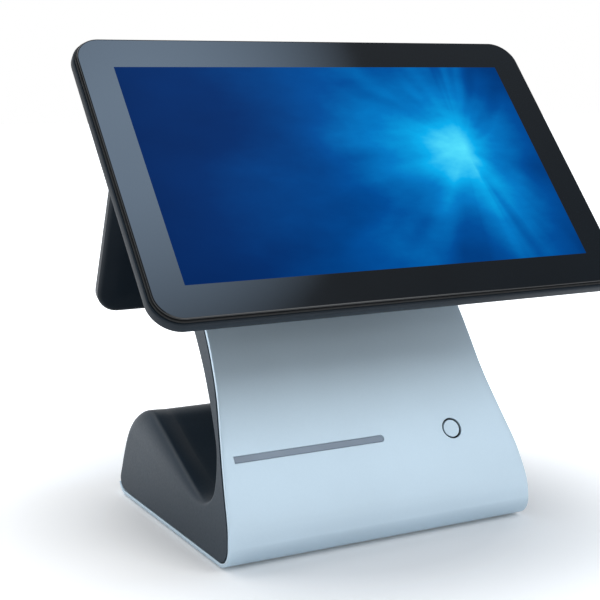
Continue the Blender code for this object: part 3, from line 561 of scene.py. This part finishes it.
def display_frame(display):
    """The display's own frame, from its hinge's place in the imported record."""
    turn = Matrix.Rotation(math.radians(display["turn"]), 4, "Z")
    tilt = Matrix.Rotation(math.radians(-display["tilt"]), 4, "X")
    from_hinge = Matrix.Translation(Vector((0.0, -display["pivot"][0], -display["pivot"][1])) * MM)
    return Matrix.Translation(joint_place(display["body"])) @ turn @ tilt @ from_hinge


def outline_at(display, grow):
    return rounded(*display["glass"], display["corner"], grow)


def glass_piece(display, matrix):
    """The cover glass with softened edges, and the picture that shows through its clear middle."""
    rings = [at_depth(outline_at(display, grow), depth) for depth, grow in GLASS_EDGE]
    half, low, high = display["picture"]
    rings.append(at_depth(rounded(half, low, high, 0.5), 0.0))
    bm = loft(rings)
    bm.faces.ensure_lookup_table()
    picture = bm.faces[-1]
    picture.material_index = 1
    layer = bm.loops.layers.uv.new("picture")
    for loop in picture.loops:
        x, _, z = loop.vert.co
        loop[layer].uv = (x / half / 2 + 0.5, (z - low) / (high - low))
    name = display["name"]
    glass = place_mesh(f"{name}_cover_glass", bm, [looks["black_glass"], looks[f"{name}_picture"]], matrix)
    belongs(glass, display["body"], "black_glass", f"{name}_glass")


def seam_piece(display, matrix):
    """The black foam seam between the glass and the housing's rim, near black also as painted shade for the gap
    between them.
    """
    front, back = SEAM
    soft = SEAM_GROWTH - 0.3
    profile = [(front, -6.0), (front, soft), (front + 0.3, SEAM_GROWTH), (back - 0.3, SEAM_GROWTH)]
    profile += [(back, soft), (back, -6.0)]
    bm = loft([at_depth(outline_at(display, grow), depth) for depth, grow in profile], wrap=True)
    name = display["name"]
    piece(f"{name}_seam", bm, "black_gasket", matrix, display["body"], "black_gasket", f"{name}_gasket")


def housing_piece(display, matrix):
    """The rear shell: a straight rim that deepens towards the bottom, a shallow slope and a raised middle."""
    _, low, high = display["rim"]
    rim_corner = display["corner"] + display["rim"][0] - display["glass"][0]
    depth = display["depth"]
    rise = depth - SHELL_SLOPE

    def rim_at(place, grow, lean=0.0):
        half, bottom, top = display["rim"]
        return (place, lean, half + grow, bottom - grow, top + grow, rim_corner + grow)

    def middle_at(place, grow):
        half, bottom, top = display["bulge"]
        return (place, 0.0, half + grow, bottom - grow, top + grow, 14.0 + grow)

    def ring(place, lean, half, bottom, top, corner):
        outline = rounded(half, bottom, top, corner)
        return [(x, place + lean * (high - z) / (high - low), z) for x, z in outline]

    lean = SHELL_LEAN
    outer = [
        rim_at(SHELL_FRONT, -1.5), rim_at(SHELL_FRONT, -0.8), rim_at(SHELL_FRONT + 0.2, -0.52),
        rim_at(SHELL_FRONT + 0.5, -0.22), rim_at(SHELL_FRONT + 1.0, 0.0), rim_at(SHELL_SIDE - 0.6, 0.0, lean),
    ]
    outer += eased([
        rim_at(SHELL_SIDE, 0.0, lean), rim_at(SHELL_SIDE + 1.9, -1.6, lean), rim_at(SHELL_SLOPE, -15.3, lean),
        middle_at(SHELL_SLOPE + rise * 0.3, 12.0), middle_at(depth - 0.2, 1.5), middle_at(depth, -3.0),
    ], 5.0, 6)
    outer.append(middle_at(depth, -12.0))
    wall = SHELL_WALL
    inner = [
        rim_at(SHELL_FRONT, -2.7), rim_at(SHELL_SIDE, -2.9, lean), rim_at(SHELL_SLOPE - wall, -16.5, lean),
        middle_at(SHELL_SLOPE + rise * 0.3 - wall, 10.0), middle_at(depth - wall - 1.0, -0.4),
        middle_at(depth - wall, -4.0),
    ]
    rings = [ring(*place) for place in reversed(inner)] + [ring(*place) for place in outer]
    # The shell takes the darker copy of the slate plastic, its darkness painted shade
    housing = place_mesh(f"{display['name']}_rear_shell", loft(rings), [looks["shaded_slate_plastic"]], matrix)
    cut(housing, (vent_slots(display), matrix))
    belongs(housing, display["body"], "slate_plastic", f"{display['name']}_housing")


def vent_slots(display):
    count, tall, centre = display["vents"]
    reach = tall / 2 - VENT_HALF
    slots = []
    for i in range(count):
        x = (i - (count - 1) / 2) * VENT_PITCH
        outline = arc((x, centre + reach), VENT_HALF, 0, 180, 8)
        outline += arc((x, centre - reach), VENT_HALF, 180, 360, 8)
        slots.append(slab(outline, display["depth"] - 7.0, display["depth"] + 4.0))
    return merged(slots)


def housing_screws(display, matrix):
    """Four screws in the corners of the raised middle."""
    wide, down, up = display["bulge"]
    turned = matrix @ Matrix.Rotation(math.pi, 4, "Z")
    levels = (down + 11.0, up - 11.0)
    places = [(x, -display["depth"], z) for x in (12.0 - wide, wide - 12.0) for z in levels]
    shape = merged([screw_shape(place, 3.4, 1.6) for place in places])
    piece(f"{display['name']}_shell_screws", shape, "black_metal", turned, display["body"], "black_metal")


def bore(centre):
    return prism(circle(centre, BORE_RADIUS, 48), -60.0, 60.0)


def bracket_piece(display, matrix):
    """A pressed plate on the back of the housing with two cheeks that reach the hinge's shaft."""
    half, low, high, sheet = display["plate"]
    back = display["depth"] + 0.3
    sheet_shape = slab(rounded(half, low, high, 6.0, 0.0, 8), back, back + sheet)
    plate = place_mesh(f"{display['name']}_hinge_bracket", sheet_shape, [looks["plated_steel"]], matrix)
    reach = circle(display["pivot"], CHEEK_ROUND)
    edges = (low + 4.0, high - 4.0)
    for side in (-1, 1):
        span = sorted((side * CHEEK[0], side * CHEEK[1]))
        root = [(back + deep, edge) for deep in (0.2, 8.0) for edge in edges]
        combined(plate, "UNION", [(prism(hull(root + reach), *span), matrix)])
    cut(plate, (bore(display["pivot"]), matrix))
    bevelled(plate, 0.5, 2, 50.0)
    belongs(plate, display["body"], "plated_steel", f"{display['name']}_bracket")


def bracket_screws(display, matrix):
    _, low, high, sheet = display["plate"]
    turned = matrix @ Matrix.Rotation(math.pi, 4, "Z")
    depth = -(display["depth"] + 0.3 + sheet)
    places = [(x, depth, z) for x in (-30.0, 30.0) for z in (low + 8.0, high - 8.0)]
    places += [(0.0, depth, low + 8.0), (0.0, depth, high - 8.0)]
    shape = merged([screw_shape(place, 3.2, 2.0) for place in places])
    piece(f"{display['name']}_bracket_screws", shape, "plated_steel", turned, display["body"], "plated_steel")


def arm_cover_piece(display, matrix):
    """The moulded shroud round the operator's bracket, open at both ends."""
    half, wide_end, narrow_end, reach = ARM_COVER
    start = display["depth"] + ARM_COVER_FROM
    end = display["pivot"][0] - reach
    wall = ARM_COVER_WALL

    def section(depth, ends, inset):
        low, high = ends
        return at_depth(rounded(half - inset, low + inset, high - inset, 9.0 - inset, 0.0, 10), depth)

    rings = [section(start, wide_end, 0.0)]
    for back, inset in ((1.0, 0.0), (0.3, 0.3), (0.0, 1.0), (0.0, wall - 0.4), (0.6, wall)):
        rings.append(section(end - back, narrow_end, inset))
    rings.append(section(start, wide_end, wall))
    # The shroud takes the darker copy of the slate plastic, its darkness painted shade
    piece("head_arm_shroud", loft(rings, wrap=True), "shaded_slate_plastic", matrix, display["body"], "slate_plastic",
          "head_arm_cover")


def make_display(display):
    matrix = display_frame(display)
    glass_piece(display, matrix)
    seam_piece(display, matrix)
    housing_piece(display, matrix)
    housing_screws(display, matrix)
    bracket_piece(display, matrix)
    bracket_screws(display, matrix)


# ---- stand


def half_width(z):
    for index, ((low, at_low), (high, at_high)) in enumerate(zip(HALF_WIDTH, HALF_WIDTH[1:])):
        if z <= high:
            near = [HALF_WIDTH[max(index - 1, 0)], (low, at_low), (high, at_high),
                    HALF_WIDTH[min(index + 2, len(HALF_WIDTH) - 1)]]
            return catmull([(width,) for _, width in near], (z - low) / (high - low))[0]
    return HALF_WIDTH[-1][1]


def cover_line(fineness=1):
    """The cover's outside from its top edge, down the front, under the base and up round the rear edge."""
    line = through(COVER_FRONT, 33 * fineness)
    line += arc(FRONT_CENTRE, FRONT_RADIUS, 180, 270, 8 * fineness)[1:]
    start, end = FRONT_CENTRE[0], REAR_CENTRE[0]
    under = [(start + (end - start) * i / 24, UNDERSIDE) for i in range(1, 24)]
    return line + under + arc(REAR_CENTRE, REAR_RADIUS, 270, REAR_END, 6 * fineness)


def stand_matrix():
    """Puts the stand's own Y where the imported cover's nose is."""
    nose = min(y for y, _ in cover_line(4))
    return Matrix.Translation((0.0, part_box("front_cover")[0].y - nose * MM, 0.0))


def controls_matrix():
    """The cover's face at the controls: X across, Y into the cover, Z up the slope."""
    for (y, z), (y_low, z_low) in zip(cover_line(), cover_line()[1:]):
        if z >= CONTROLS_Z > z_low:
            part = (z - CONTROLS_Z) / (z - z_low)
            slope = math.atan2(y - y_low, z - z_low)
            place = Vector((0.0, y + (y_low - y) * part, CONTROLS_Z)) * MM
            return stand_matrix() @ Matrix.Translation(place) @ Matrix.Rotation(-slope, 4, "X")
    raise ValueError("the controls are off the cover")


def slot_outline(inset):
    start, half = SLOT[0] + inset, SLOT_HEIGHT / 2 - inset
    return [(start, -half)] + arc((SLOT[1] - SLOT_HEIGHT / 2, 0.0), half, -90, 90, 16) + [(start, half)]


def cover_piece():
    """The bent front sheet, with rounded cut edges and lightly broken rims round its two openings."""
    outer = cover_line(4)
    inner = offset_line(outer, COVER_SHEET)
    edge = [(0.7, 0.0), (0.35, 0.03), (0.12, 0.13), (0.0, 0.27)]
    edge += [(inset, 1.0 - share) for inset, share in reversed(edge)]
    shares = [-1.0 + step / 32 for step in range(1, 64)]
    rings = []
    for (y, z), (y_in, z_in) in zip(outer, inner):
        half = half_width(z)
        right = [(half - inset, y + (y_in - y) * t, z + (z_in - z) * t) for inset, t in edge]
        left = [(-x, py, pz) for x, py, pz in reversed(right)]
        reach = half - edge[0][0]
        rings.append(left + [(reach * share, y, z) for share in shares] + right
                     + [(-reach * share, y_in, z_in) for share in shares])
    cover = place_mesh("front_sheet", loft(rings), [looks["satin_aluminium"]], stand_matrix())
    face = controls_matrix()
    mouth = BUTTON_HOLE + 0.35
    hole = turned_y([(-6.0, mouth), (0.0, mouth), (0.35, BUTTON_HOLE), (6.0, BUTTON_HOLE)], (BUTTON_X, 0.0))
    slot = loft([at_depth(slot_outline(inset), depth) for depth, inset in
                 ((-6.0, -0.3), (0.02, -0.3), (0.32, 0.0), (6.0, 0.0))])
    cut(cover, (hole, face), (slot, face))
    belongs(cover, "base", "satin_aluminium", "front_cover")


def at_length(line, lengths, wanted):
    for i in range(len(line) - 1):
        if wanted <= lengths[i + 1] or i == len(line) - 2:
            part = (wanted - lengths[i]) / (lengths[i + 1] - lengths[i])
            return tuple(a + (b - a) * part for a, b in zip(line[i], line[i + 1]))
    return line[-1]


def middle_sink(station, y, z):
    """How far the middle lies below the rails: a dish on the ramp, and a raised back on the stem."""
    if station < STEM_SHARE:
        share = min(max((z - STEM_SWELL_Z[0]) / (STEM_SWELL_Z[1] - STEM_SWELL_Z[0]), 0.0), 1.0)
        return -STEM_SWELL * math.sin(math.pi * share)
    share = min(max((y - DISH_Y[0]) / (DISH_Y[1] - DISH_Y[0]), 0.0), 1.0)
    return DISH_DEPTH * math.sin(math.pi * share)


def body_rows():
    """The moulding's cross sections, from the cover on the left, over the crest and the dish."""
    crest, edge = through(CREST, BODY_STEPS), through(FLAT_EDGE, BODY_STEPS)
    inside = offset_line(cover_line(), COVER_SHEET + BODY_GAP)
    lengths = [0.0]
    for a, b in zip(inside, inside[1:]):
        lengths.append(lengths[-1] + math.dist(a, b))
    reaches = through([(far,) for far in FRONT_REACH], BODY_STEPS)
    front = [at_length(inside, lengths, reach) for reach, in reaches]
    rows = []
    for i, ((y, z), (y_flat, z_flat), (y_front, z_front)) in enumerate(zip(crest, edge, front)):
        row = []
        for part in (0.0, 0.2, 0.4, 0.6, 0.8, 0.93):
            py, pz = y_front + (y_flat - y_front) * part, z_front + (z_flat - z_front) * part
            row.append((-half_width(pz), py, pz))
        outer, inner = half_width(z_flat), half_width(z) - CREST_INSET
        for step in range(9):
            turn = step / 8 * QUARTER
            rise, run = math.sin(turn), 1 - math.cos(turn)
            across = outer + (inner - outer) * run
            row.append((-across, y_flat + (y - y_flat) * rise, z_flat + (z - z_flat) * rise))
        before, after = crest[max(i - 1, 0)], crest[min(i + 1, BODY_STEPS)]
        along = Vector((after[0] - before[0], after[1] - before[1])).normalized()
        sink = middle_sink(i / BODY_STEPS, y, z)
        for step in range(1, 9):
            turn = step / 8 * QUARTER
            down = sink * (1 - math.cos(turn) if sink > 0 else math.sin(turn))
            row.append((-(inner - DISH_WIDTH * step / 8), y + along.y * down, z - along.x * down))
        row.append((-(inner - DISH_WIDTH - 4.0), y + along.y * sink, z - along.x * sink))
        rows.append(row + [(-px, py, pz) for px, py, pz in reversed(row)])
    return rows


def body_piece():
    """The dark moulding behind the cover, open at the front and bottom, with a window for the sockets."""
    bm = bmesh.new()
    rows = [[bm.verts.new(place) for place in row] for row in body_rows()]
    for near, far in zip(rows, rows[1:]):
        for i in range(len(near) - 1):
            bm.faces.new((near[i], near[i + 1], far[i + 1], far[i]))
    body = place_mesh("base_moulding", bm, [looks["slate_plastic"]], stand_matrix(), False, 50.0)
    shell = body.modifiers.new("wall", "SOLIDIFY")
    shell.thickness = BODY_WALL * MM
    shell.offset = -1.0
    low, high = box_mm("connector_recess")
    window = rounded(high.x + 0.3, low.z - 0.3, high.z + 0.3, 0.5, 0.0, 3)
    cut(body, (slab(window, low.y - 6.0, high.y + 20.0), HERE))
    belongs(body, "base", "slate_plastic", "base_body")


def stem_place(along, across):
    (y, z), (y_low, z_low) = COVER_FRONT[0], COVER_FRONT[1]
    up = Vector((y - y_low, z - z_low)).normalized()
    return (y + up.x * along + up.y * across, z + up.y * along - up.x * across)


def stem_cap_piece():
    """The moulding that closes the stem's top round the hinge block."""
    half = half_width(COVER_FRONT[0][1])
    outline = [stem_place(*place) for place in ((0.3, 0.0), (0.3, 22.4), (3.3, 21.8), (3.3, 0.6))]
    cap = place_mesh("stem_top_cap", prism(outline, -half, half), [looks["slate_plastic"]], stand_matrix())
    mouth = [stem_place(*place) for place in ((-5.0, 5.6), (-5.0, 15.0), (9.0, 15.0), (9.0, 5.6))]
    cut(cap, (prism(mouth, -CASTING_HALF - 0.3, CASTING_HALF + 0.3), stand_matrix()))
    bevelled(cap, 0.9, 3)
    belongs(cap, "base", "slate_plastic", "stem_cap")


def hinge_piece():
    """The casting in the stem's top that carries both shafts."""
    stand = stand_matrix()
    back = stand.inverted()
    at = [back @ joint_place(child) / MM for child in ("head", "customer_display")]
    centres = [(place.y, place.z) for place in at]
    foot = [stem_place(along, across) for along in (-34.0, 9.0) for across in CASTING_ACROSS]
    neck = [stem_place(6.0, across) for across in CASTING_ACROSS]
    knuckles = circle(centres[0], 11.0) + circle(centres[1], 11.0)
    block = prism(hull(foot), -CASTING_HALF, CASTING_HALF)
    casting = place_mesh("hinge_casting", block, [looks["black_metal"]], stand)
    web = prism(hull(neck + knuckles), 0.4 - CASTING_HALF, CASTING_HALF - 0.4)
    combined(casting, "UNION", [(web, stand)])
    cut(casting, *((bore(centre), stand) for centre in centres))
    bevelled(casting, 0.7, 2, 50.0)
    belongs(casting, "base", "black_metal", "hinge_block")
    for word, centre in zip(("head", "customer"), centres):
        hinge_hardware(stand, word, centre)


def hinge_hardware(stand, word, centre):
    """A headed shaft with a hexagonal socket at each end, and its two friction washers."""
    half, (head, rim) = SHAFT_HALF, SHAFT_HEAD
    ends = [(half - 2.4, 2.6), (half, 2.6), (half, rim - 1.4), (half - 0.3, rim - 0.5), (half - 1.2, rim),
            (head + 0.3, rim), (head, rim - 0.3), (head, SHAFT_RADIUS)]
    profile = ends + [(-x, wide) for x, wide in reversed(ends)]
    steel = ("plated_steel", stand, "base", "plated_steel")
    piece(f"{word}_pivot_shaft", turned_x(profile, centre), *steel, f"{word}_hinge_shaft")
    for side, label in ((-1, "left"), (1, "right")):
        near, far, wide = WASHER
        section = [(near, BORE_RADIUS), (near, wide - 0.4), (near + 0.4, wide), (far - 0.4, wide),
                   (far, wide - 0.4), (far, BORE_RADIUS)]
        ring = turned_x([(side * x, radius) for x, radius in section], centre, wrap=True)
        piece(f"{word}_friction_washer_{label}", ring, *steel, f"{word}_washer_{label}")


# ---- front controls


def button_pieces():
    face = controls_matrix()
    centre = (BUTTON_X, 0.0)
    radius = BUTTON_RADIUS
    cap = [(3.2, radius), (1.1, radius), (0.8, radius - 0.12), (0.62, radius - 0.4), (0.6, radius - 0.9),
           (0.72, radius - 2.5), (0.85, radius * 0.35), (0.88, 0.4)]
    piece("power_button_cap", turned_y(cap, centre), "satin_aluminium", face, "button", "satin_aluminium",
          "power_button")
    # The guide ring sits in the gap round the cap, and its near black is partly painted shade for that gap
    bore, outside = BUTTON_RADIUS + 0.3, BUTTON_HOLE - 0.05
    section = [(2.1, bore + 0.15), (1.95, bore + 0.4), (1.95, outside - 0.1), (2.15, outside), (3.3, outside),
               (3.3, 11.0), (4.2, 11.0), (4.2, bore), (1.4, bore)]
    ring = turned_y(section, centre, wrap=True)
    piece("button_ring", ring, "black_gasket", face, "base", "black_gasket", "button_guide")


def light_bar_piece():
    rings = [(2.7, 0.1), (0.75, 0.1), (0.58, 0.18), (0.5, 0.4), (0.5, 1.2)]
    shape = loft([at_depth(slot_outline(inset), depth) for depth, inset in rings])
    piece("light_bar_lens", shape, "light_lens", controls_matrix(), "base", "light_lens", "light_bar")


# ---- rear sockets


def socket_openings(name):
    """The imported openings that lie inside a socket, in millimetres."""
    low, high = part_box(name)
    found = []
    for opening in frame["record"]["physics"]["openings"]:
        near, far = (Vector(corner) for corner in opening["box_m"])
        middle = (near + far) / 2
        inside = low.x < middle.x < high.x and low.z < middle.z < high.z
        if inside and far.x - near.x < high.x - low.x:
            found.append([near / MM, far / MM])
    return found


def box_shape(low, high):
    (left, front, bottom), (right, back, top) = low, high
    return prism([(front, bottom), (back, bottom), (back, top), (front, top)], left, right)


def socket_piece(name):
    """A socket's black body with softened edges and its mouths cut in."""
    low, high = box_mm(name)
    body = place_mesh(f"{name}_body", box_shape(low, high), [looks["socket_plastic"]], HERE)
    mouths = []
    for near, far in socket_openings(name):
        start = (near.x - 0.2, near.y - 0.3, near.z - 0.2)
        mouths.append((box_shape(start, (far.x + 0.2, high.y + 5.0, far.z + 0.2)), HERE))
    cut(body, *mouths)
    bevelled(body, 0.35, 2)
    belongs(body, "base", "socket_plastic", name)


def metal_mouth(name):
    """A thin plated shell that lines each mouth of a socket and turns out over its face."""
    shells = []
    front = box_mm(name)[1].y
    for near, far in socket_openings(name):
        x, z = (near.x + far.x) / 2, (near.z + far.z) / 2
        wide, tall = (far.x - near.x) / 2 + 0.15, (far.z - near.z) / 2 + 0.15
        rings = []
        for depth, grow in ((near.y, 0.0), (front + 0.1, 0.0), (front + 0.35, 0.35), (front + 0.35, 0.9),
                            (front + 0.02, 0.9), (front + 0.02, 0.02), (near.y, 0.02)):
            shape = rounded(wide + grow - 0.25, -tall - grow + 0.25, tall + grow - 0.25, 0.8, 0.0, 4)
            rings.append([(px + x, depth, pz + z) for px, pz in shape])
        shells.append(loft(rings, wrap=True))
    piece(f"{name}_shell", merged(shells), "shell_nickel", *METAL)


def usb_tongues(name):
    """The insulating tongue in each mouth and its four contacts."""
    tongues, contacts = [], []
    for near, far in socket_openings(name):
        x, z = (near.x + far.x) / 2, (near.z + far.z) / 2
        tongues.append(box_shape((x - 5.2, near.y, z + 0.2), (x + 5.2, far.y - 2.4, z + 1.8)))
        for step in (-3.5, -1.0, 1.0, 3.5):
            start = (x + step - 0.5, near.y + 0.6, z + 0.05)
            contacts.append(box_shape(start, (x + step + 0.5, far.y - 3.4, z + 0.35)))
    bevelled(piece(f"{name}_tongues", merged(tongues), "port_blue", HERE, "base", "socket_plastic"), 0.25, 2)
    piece(f"{name}_contacts", merged(contacts), "contact_gold", *METAL)


def pin_field(name, rows, pitch, socketed):
    """Rows of pins in a shell: short pegs, or a raised insert with a hole for each."""
    near, far = socket_openings(name)[0]
    x, z = (near.x + far.x) / 2, (near.z + far.z) / 2
    places = []
    for level, count in enumerate(rows):
        for i in range(count):
            places.append((x + (i - (count - 1) / 2) * pitch, z + ((len(rows) - 1) / 2 - level) * pitch))
    if socketed:
        outline = [(px + x, pz + z) for px, pz in rounded(6.6, -2.8, 2.8, 1.2, 0.0, 6)]
        insert = place_mesh(f"{name}_insert", slab(outline, near.y, far.y - 2.0), [looks["port_blue"]], HERE)
        holes = merged([slab(circle(place, 0.45, 16), far.y - 4.0, far.y + 1.0) for place in places])
        belongs(cut(insert, (holes, HERE)), "base", "socket_plastic")
        return
    peg = [(near.y, 0.5), (far.y - 3.6, 0.5), (far.y - 3.1, 0.3)]
    pegs = merged([turned_y(peg, place, 16) for place in places])
    piece(f"{name}_pins", pegs, "contact_gold", *METAL)


def jack_screws(name):
    """The two hexagonal jack screws beside a shell."""
    low, high = box_mm(name)
    z = (low.z + high.z) / 2
    nut = ((0.0, 1.55), (2.4, 1.55), (2.7, 1.3), (2.7, 0.7), (1.0, 0.7))
    profile = [(high.y + out, radius) for out, radius in nut]
    nuts = [turned_y(profile, (x, z), 6) for x in (low.x + 1.75, high.x - 1.75)]
    piece(f"{name}_jack_screws", merged(nuts), "shell_nickel", *METAL, sharp=25.0)


def network_details(name):
    """Eight sprung contacts behind the roof of the mouth, and two small lamps above it."""
    near, far = socket_openings(name)[0]
    x, high = (near.x + far.x) / 2, box_mm(name)[1].y
    contacts = []
    for i in range(8):
        middle = x + (i - 3.5) * 1.02
        start = (middle - 0.22, near.y, far.z - 2.7)
        contacts.append(box_shape(start, (middle + 0.22, far.y - 4.0, far.z - 2.3)))
    piece(f"{name}_contacts", merged(contacts), "contact_gold", *METAL)
    lamps = []
    for middle in (x - 4.6, x + 4.6):
        start = (middle - 1.4, high - 0.2, far.z + 0.9)
        lamps.append(box_shape(start, (middle + 1.4, high + 0.25, far.z + 2.3)))
    bevelled(piece(f"{name}_lamps", merged(lamps), "light_lens", HERE, "base", "light_lens"), 0.2, 2)


def power_details(name):
    """The round inlet's plated lining and its centre pin."""
    low, high = box_mm(name)
    centre = ((low.x + high.x) / 2, (low.z + high.z) / 2)
    body = place_mesh(f"{name}_body", box_shape(low, high), [looks["socket_plastic"]], HERE)
    back = high.y
    mouth = turned_y([(back - 11.0, 4.2), (back - 0.5, 4.2), (back, 4.7), (back + 5.0, 4.7)], centre)
    cut(body, (mouth, HERE))
    belongs(bevelled(body, 0.4, 2), "base", "socket_plastic", name)
    wall = [(back - 10.9, 4.15), (back - 1.4, 4.15), (back - 1.4, 3.9), (back - 10.9, 3.9)]
    lining = turned_y(wall, centre, wrap=True)
    pin = turned_y([(back - 10.9, 1.25), (back - 2.4, 1.25), (back - 1.6, 0.7)], centre, 32)
    piece(f"{name}_contacts", merged([lining, pin]), "shell_nickel", *METAL)


def rear_sockets():
    pinned, usb = ("serial_socket", "video_socket"), ("usb_socket_left", "usb_socket_right")
    for name in ("drawer_socket", *pinned, "network_socket", *usb):
        socket_piece(name)
    for name in pinned + usb:
        metal_mouth(name)
    for name in usb:
        usb_tongues(name)
    for name in pinned:
        jack_screws(name)
    pin_field("serial_socket", (5, 4), 2.7, False)
    pin_field("video_socket", (5, 5, 5), 2.1, True)
    pin_field("drawer_socket", (6,), 1.3, False)
    network_details("network_socket")
    power_details("power_socket")


# ---- underside


def feet_pieces():
    """Four rubber feet with a rounded shoulder and a moulded ring."""
    for word in ("front_left", "front_right", "rear_left", "rear_right"):
        low, high = box_mm(f"foot_{word}")
        centre = ((low.x + high.x) / 2, (low.y + high.y) / 2)
        radius = (high.x - low.x) / 2
        section = [(high.z, 0.0), (0.5, 0.0), (0.15, 0.15), (0.0, 0.5), (0.0, 3.0), (0.5, 3.4), (0.5, 4.4),
                   (0.0, 4.8), (0.0, radius - 0.5)]
        rings = [[(x, y, z) for x, y in circle(centre, radius - inset)] for z, inset in section]
        piece(f"rubber_foot_{word}", loft(rings), "rubber_feet", HERE, "base", "rubber_feet", f"foot_{word}")


def underside_screws():
    """Pan-head screws that hold the cover's underside to the moulding."""
    low, high = box_mm("front_cover")
    places = [(x, -UNDERSIDE, -y) for x in (-100.0, 0.0, 100.0) for y in (low.y + 70.0, high.y - 70.0)]
    shape = merged([screw_shape(place, 3.2, 0.9) for place in places])
    downwards = Matrix.Rotation(-QUARTER, 4, "X")
    piece("underside_screws", shape, "plated_steel", downwards, "base", "plated_steel")


# ---- studio


def finish_cad_nodes():
    """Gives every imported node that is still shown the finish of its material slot."""
    for row in frame["record"]["subparts"]:
        obj = frame["nodes"][row["node"]]
        for slot in obj.material_slots:
            slot.material = looks[row["material_slot"]]


def area_light(name, place, aim, size, power, colour=(1.0, 1.0, 1.0)):
    data = bpy.data.lights.new(name, "AREA")
    data.shape = "RECTANGLE"
    data.size, data.size_y = size
    data.energy = power
    data.color = colour
    obj = bpy.data.objects.new(name, data)
    obj.location = place
    obj.rotation_euler = (Vector(aim) - Vector(place)).to_track_quat("-Z", "Y").to_euler()
    bpy.context.scene.collection.objects.link(obj)


def make_floor():
    bm = bmesh.new()
    bmesh.ops.create_grid(bm, x_segments=8, y_segments=8, size=9.0 / MM)
    paint = shaded("floor_paint", (0.88, 0.87, 0.86), 0.8, grain=(60.0, 0.02), blotch=1.2, vary=0.01)
    tree = paint.node_tree
    shader = tree.nodes["Principled BSDF"]
    coord = node(tree, "ShaderNodeTexCoord")
    far = node(tree, "ShaderNodeVectorMath", operation="LENGTH")
    tree.links.new(coord.outputs["Object"], far.inputs[0])
    shader.inputs["Emission Color"].default_value = (0.97, 0.985, 1.0, 1.0)
    # Emission that is faint near the middle and strong further out: painted shade on the floor round the base, and
    # a white floor beyond
    painted_shade_glow = spread(tree, far.outputs["Value"], 0.04, 0.9, 0.15, 0.48)
    tree.links.new(painted_shade_glow, shader.inputs["Emission Strength"])
    place_mesh("floor", bm, [paint], HERE, closed=False)


def make_world():
    """A pale studio: white at the horizon, dimmer overhead, with one soft bright patch of ceiling."""
    world = bpy.data.worlds.new("studio")
    bpy.context.scene.world = world
    world.use_nodes = True
    tree = world.node_tree
    coord = node(tree, "ShaderNodeTexCoord")
    parts = tree.nodes.new("ShaderNodeSeparateXYZ")
    tree.links.new(coord.outputs["Generated"], parts.inputs["Vector"])
    sky = ramp(tree, parts.outputs["Z"], [
        (0.0, (1.0, 1.0, 1.0)), (0.22, (1.0, 1.0, 1.0)), (0.45, (0.52, 0.55, 0.58)),
        (0.70, (0.20, 0.25, 0.31)), (1.0, (0.44, 0.47, 0.50)),
    ])
    patch = node(tree, "ShaderNodeVectorMath", operation="DOT_PRODUCT")
    tree.links.new(coord.outputs["Generated"], patch.inputs[0])
    patch.inputs[1].default_value = Vector((0.35, -0.17, 0.92)).normalized()
    soft = spread(tree, patch.outputs["Value"], 0.0, 1.0, 0.984, 0.9995)
    lit = tinted(tree, soft, (0.0, 0.0, 0.0), (2.7, 3.7, 5.0))
    whole = node(tree, "ShaderNodeVectorMath", operation="ADD")
    tree.links.new(sky, whole.inputs[0])
    tree.links.new(lit, whole.inputs[1])
    tree.links.new(whole.outputs["Vector"], tree.nodes["Background"].inputs["Color"])


def make_lights():
    area_light("key", (0.72, -1.45, 1.62), (0.0, -0.05, 0.06), (1.2, 1.1), 13.0, (0.97, 0.99, 1.0))
    area_light("top", (-0.6, 1.1, 2.0), (0.0, 0.0, 0.0), (1.8, 1.8), 21.0, (1.0, 0.99, 0.98))
    area_light("left", (-1.6, 0.7, 1.2), (0.0, 0.0, 0.1), (0.9, 1.0), 4.0, (0.88, 0.95, 1.0))


def make_camera():
    data = bpy.data.cameras.new("camera")
    data.sensor_width = 36.0
    data.lens = 80.25
    data.shift_x, data.shift_y = -0.0124, 0.0065
    camera = bpy.data.objects.new("camera", data)
    camera.location = (-0.51885, -0.94287, 0.35668)
    camera.rotation_euler = (math.radians(80.34), math.radians(0.12), math.radians(-28.16))
    bpy.context.scene.collection.objects.link(camera)
    bpy.context.scene.camera = camera


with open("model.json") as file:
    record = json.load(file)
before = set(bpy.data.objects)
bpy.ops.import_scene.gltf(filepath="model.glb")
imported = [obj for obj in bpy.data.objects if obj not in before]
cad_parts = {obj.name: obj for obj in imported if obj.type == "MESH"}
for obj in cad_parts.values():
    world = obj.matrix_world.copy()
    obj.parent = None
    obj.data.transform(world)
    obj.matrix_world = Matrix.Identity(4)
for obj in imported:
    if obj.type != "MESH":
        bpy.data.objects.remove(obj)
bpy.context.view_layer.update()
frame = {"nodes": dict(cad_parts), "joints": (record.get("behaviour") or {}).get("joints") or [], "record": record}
bpy.context.scene.view_settings.view_transform = "Standard"
make_camera()
make_world()
make_lights()
make_floor()
looks = make_looks()
finish_cad_nodes()
for one in (HEAD, CUSTOMER):
    make_display(one)
arm_cover_piece(HEAD, display_frame(HEAD))
cover_piece()
body_piece()
stem_cap_piece()
hinge_piece()
button_pieces()
light_bar_piece()
rear_sockets()
feet_pieces()
underside_screws()
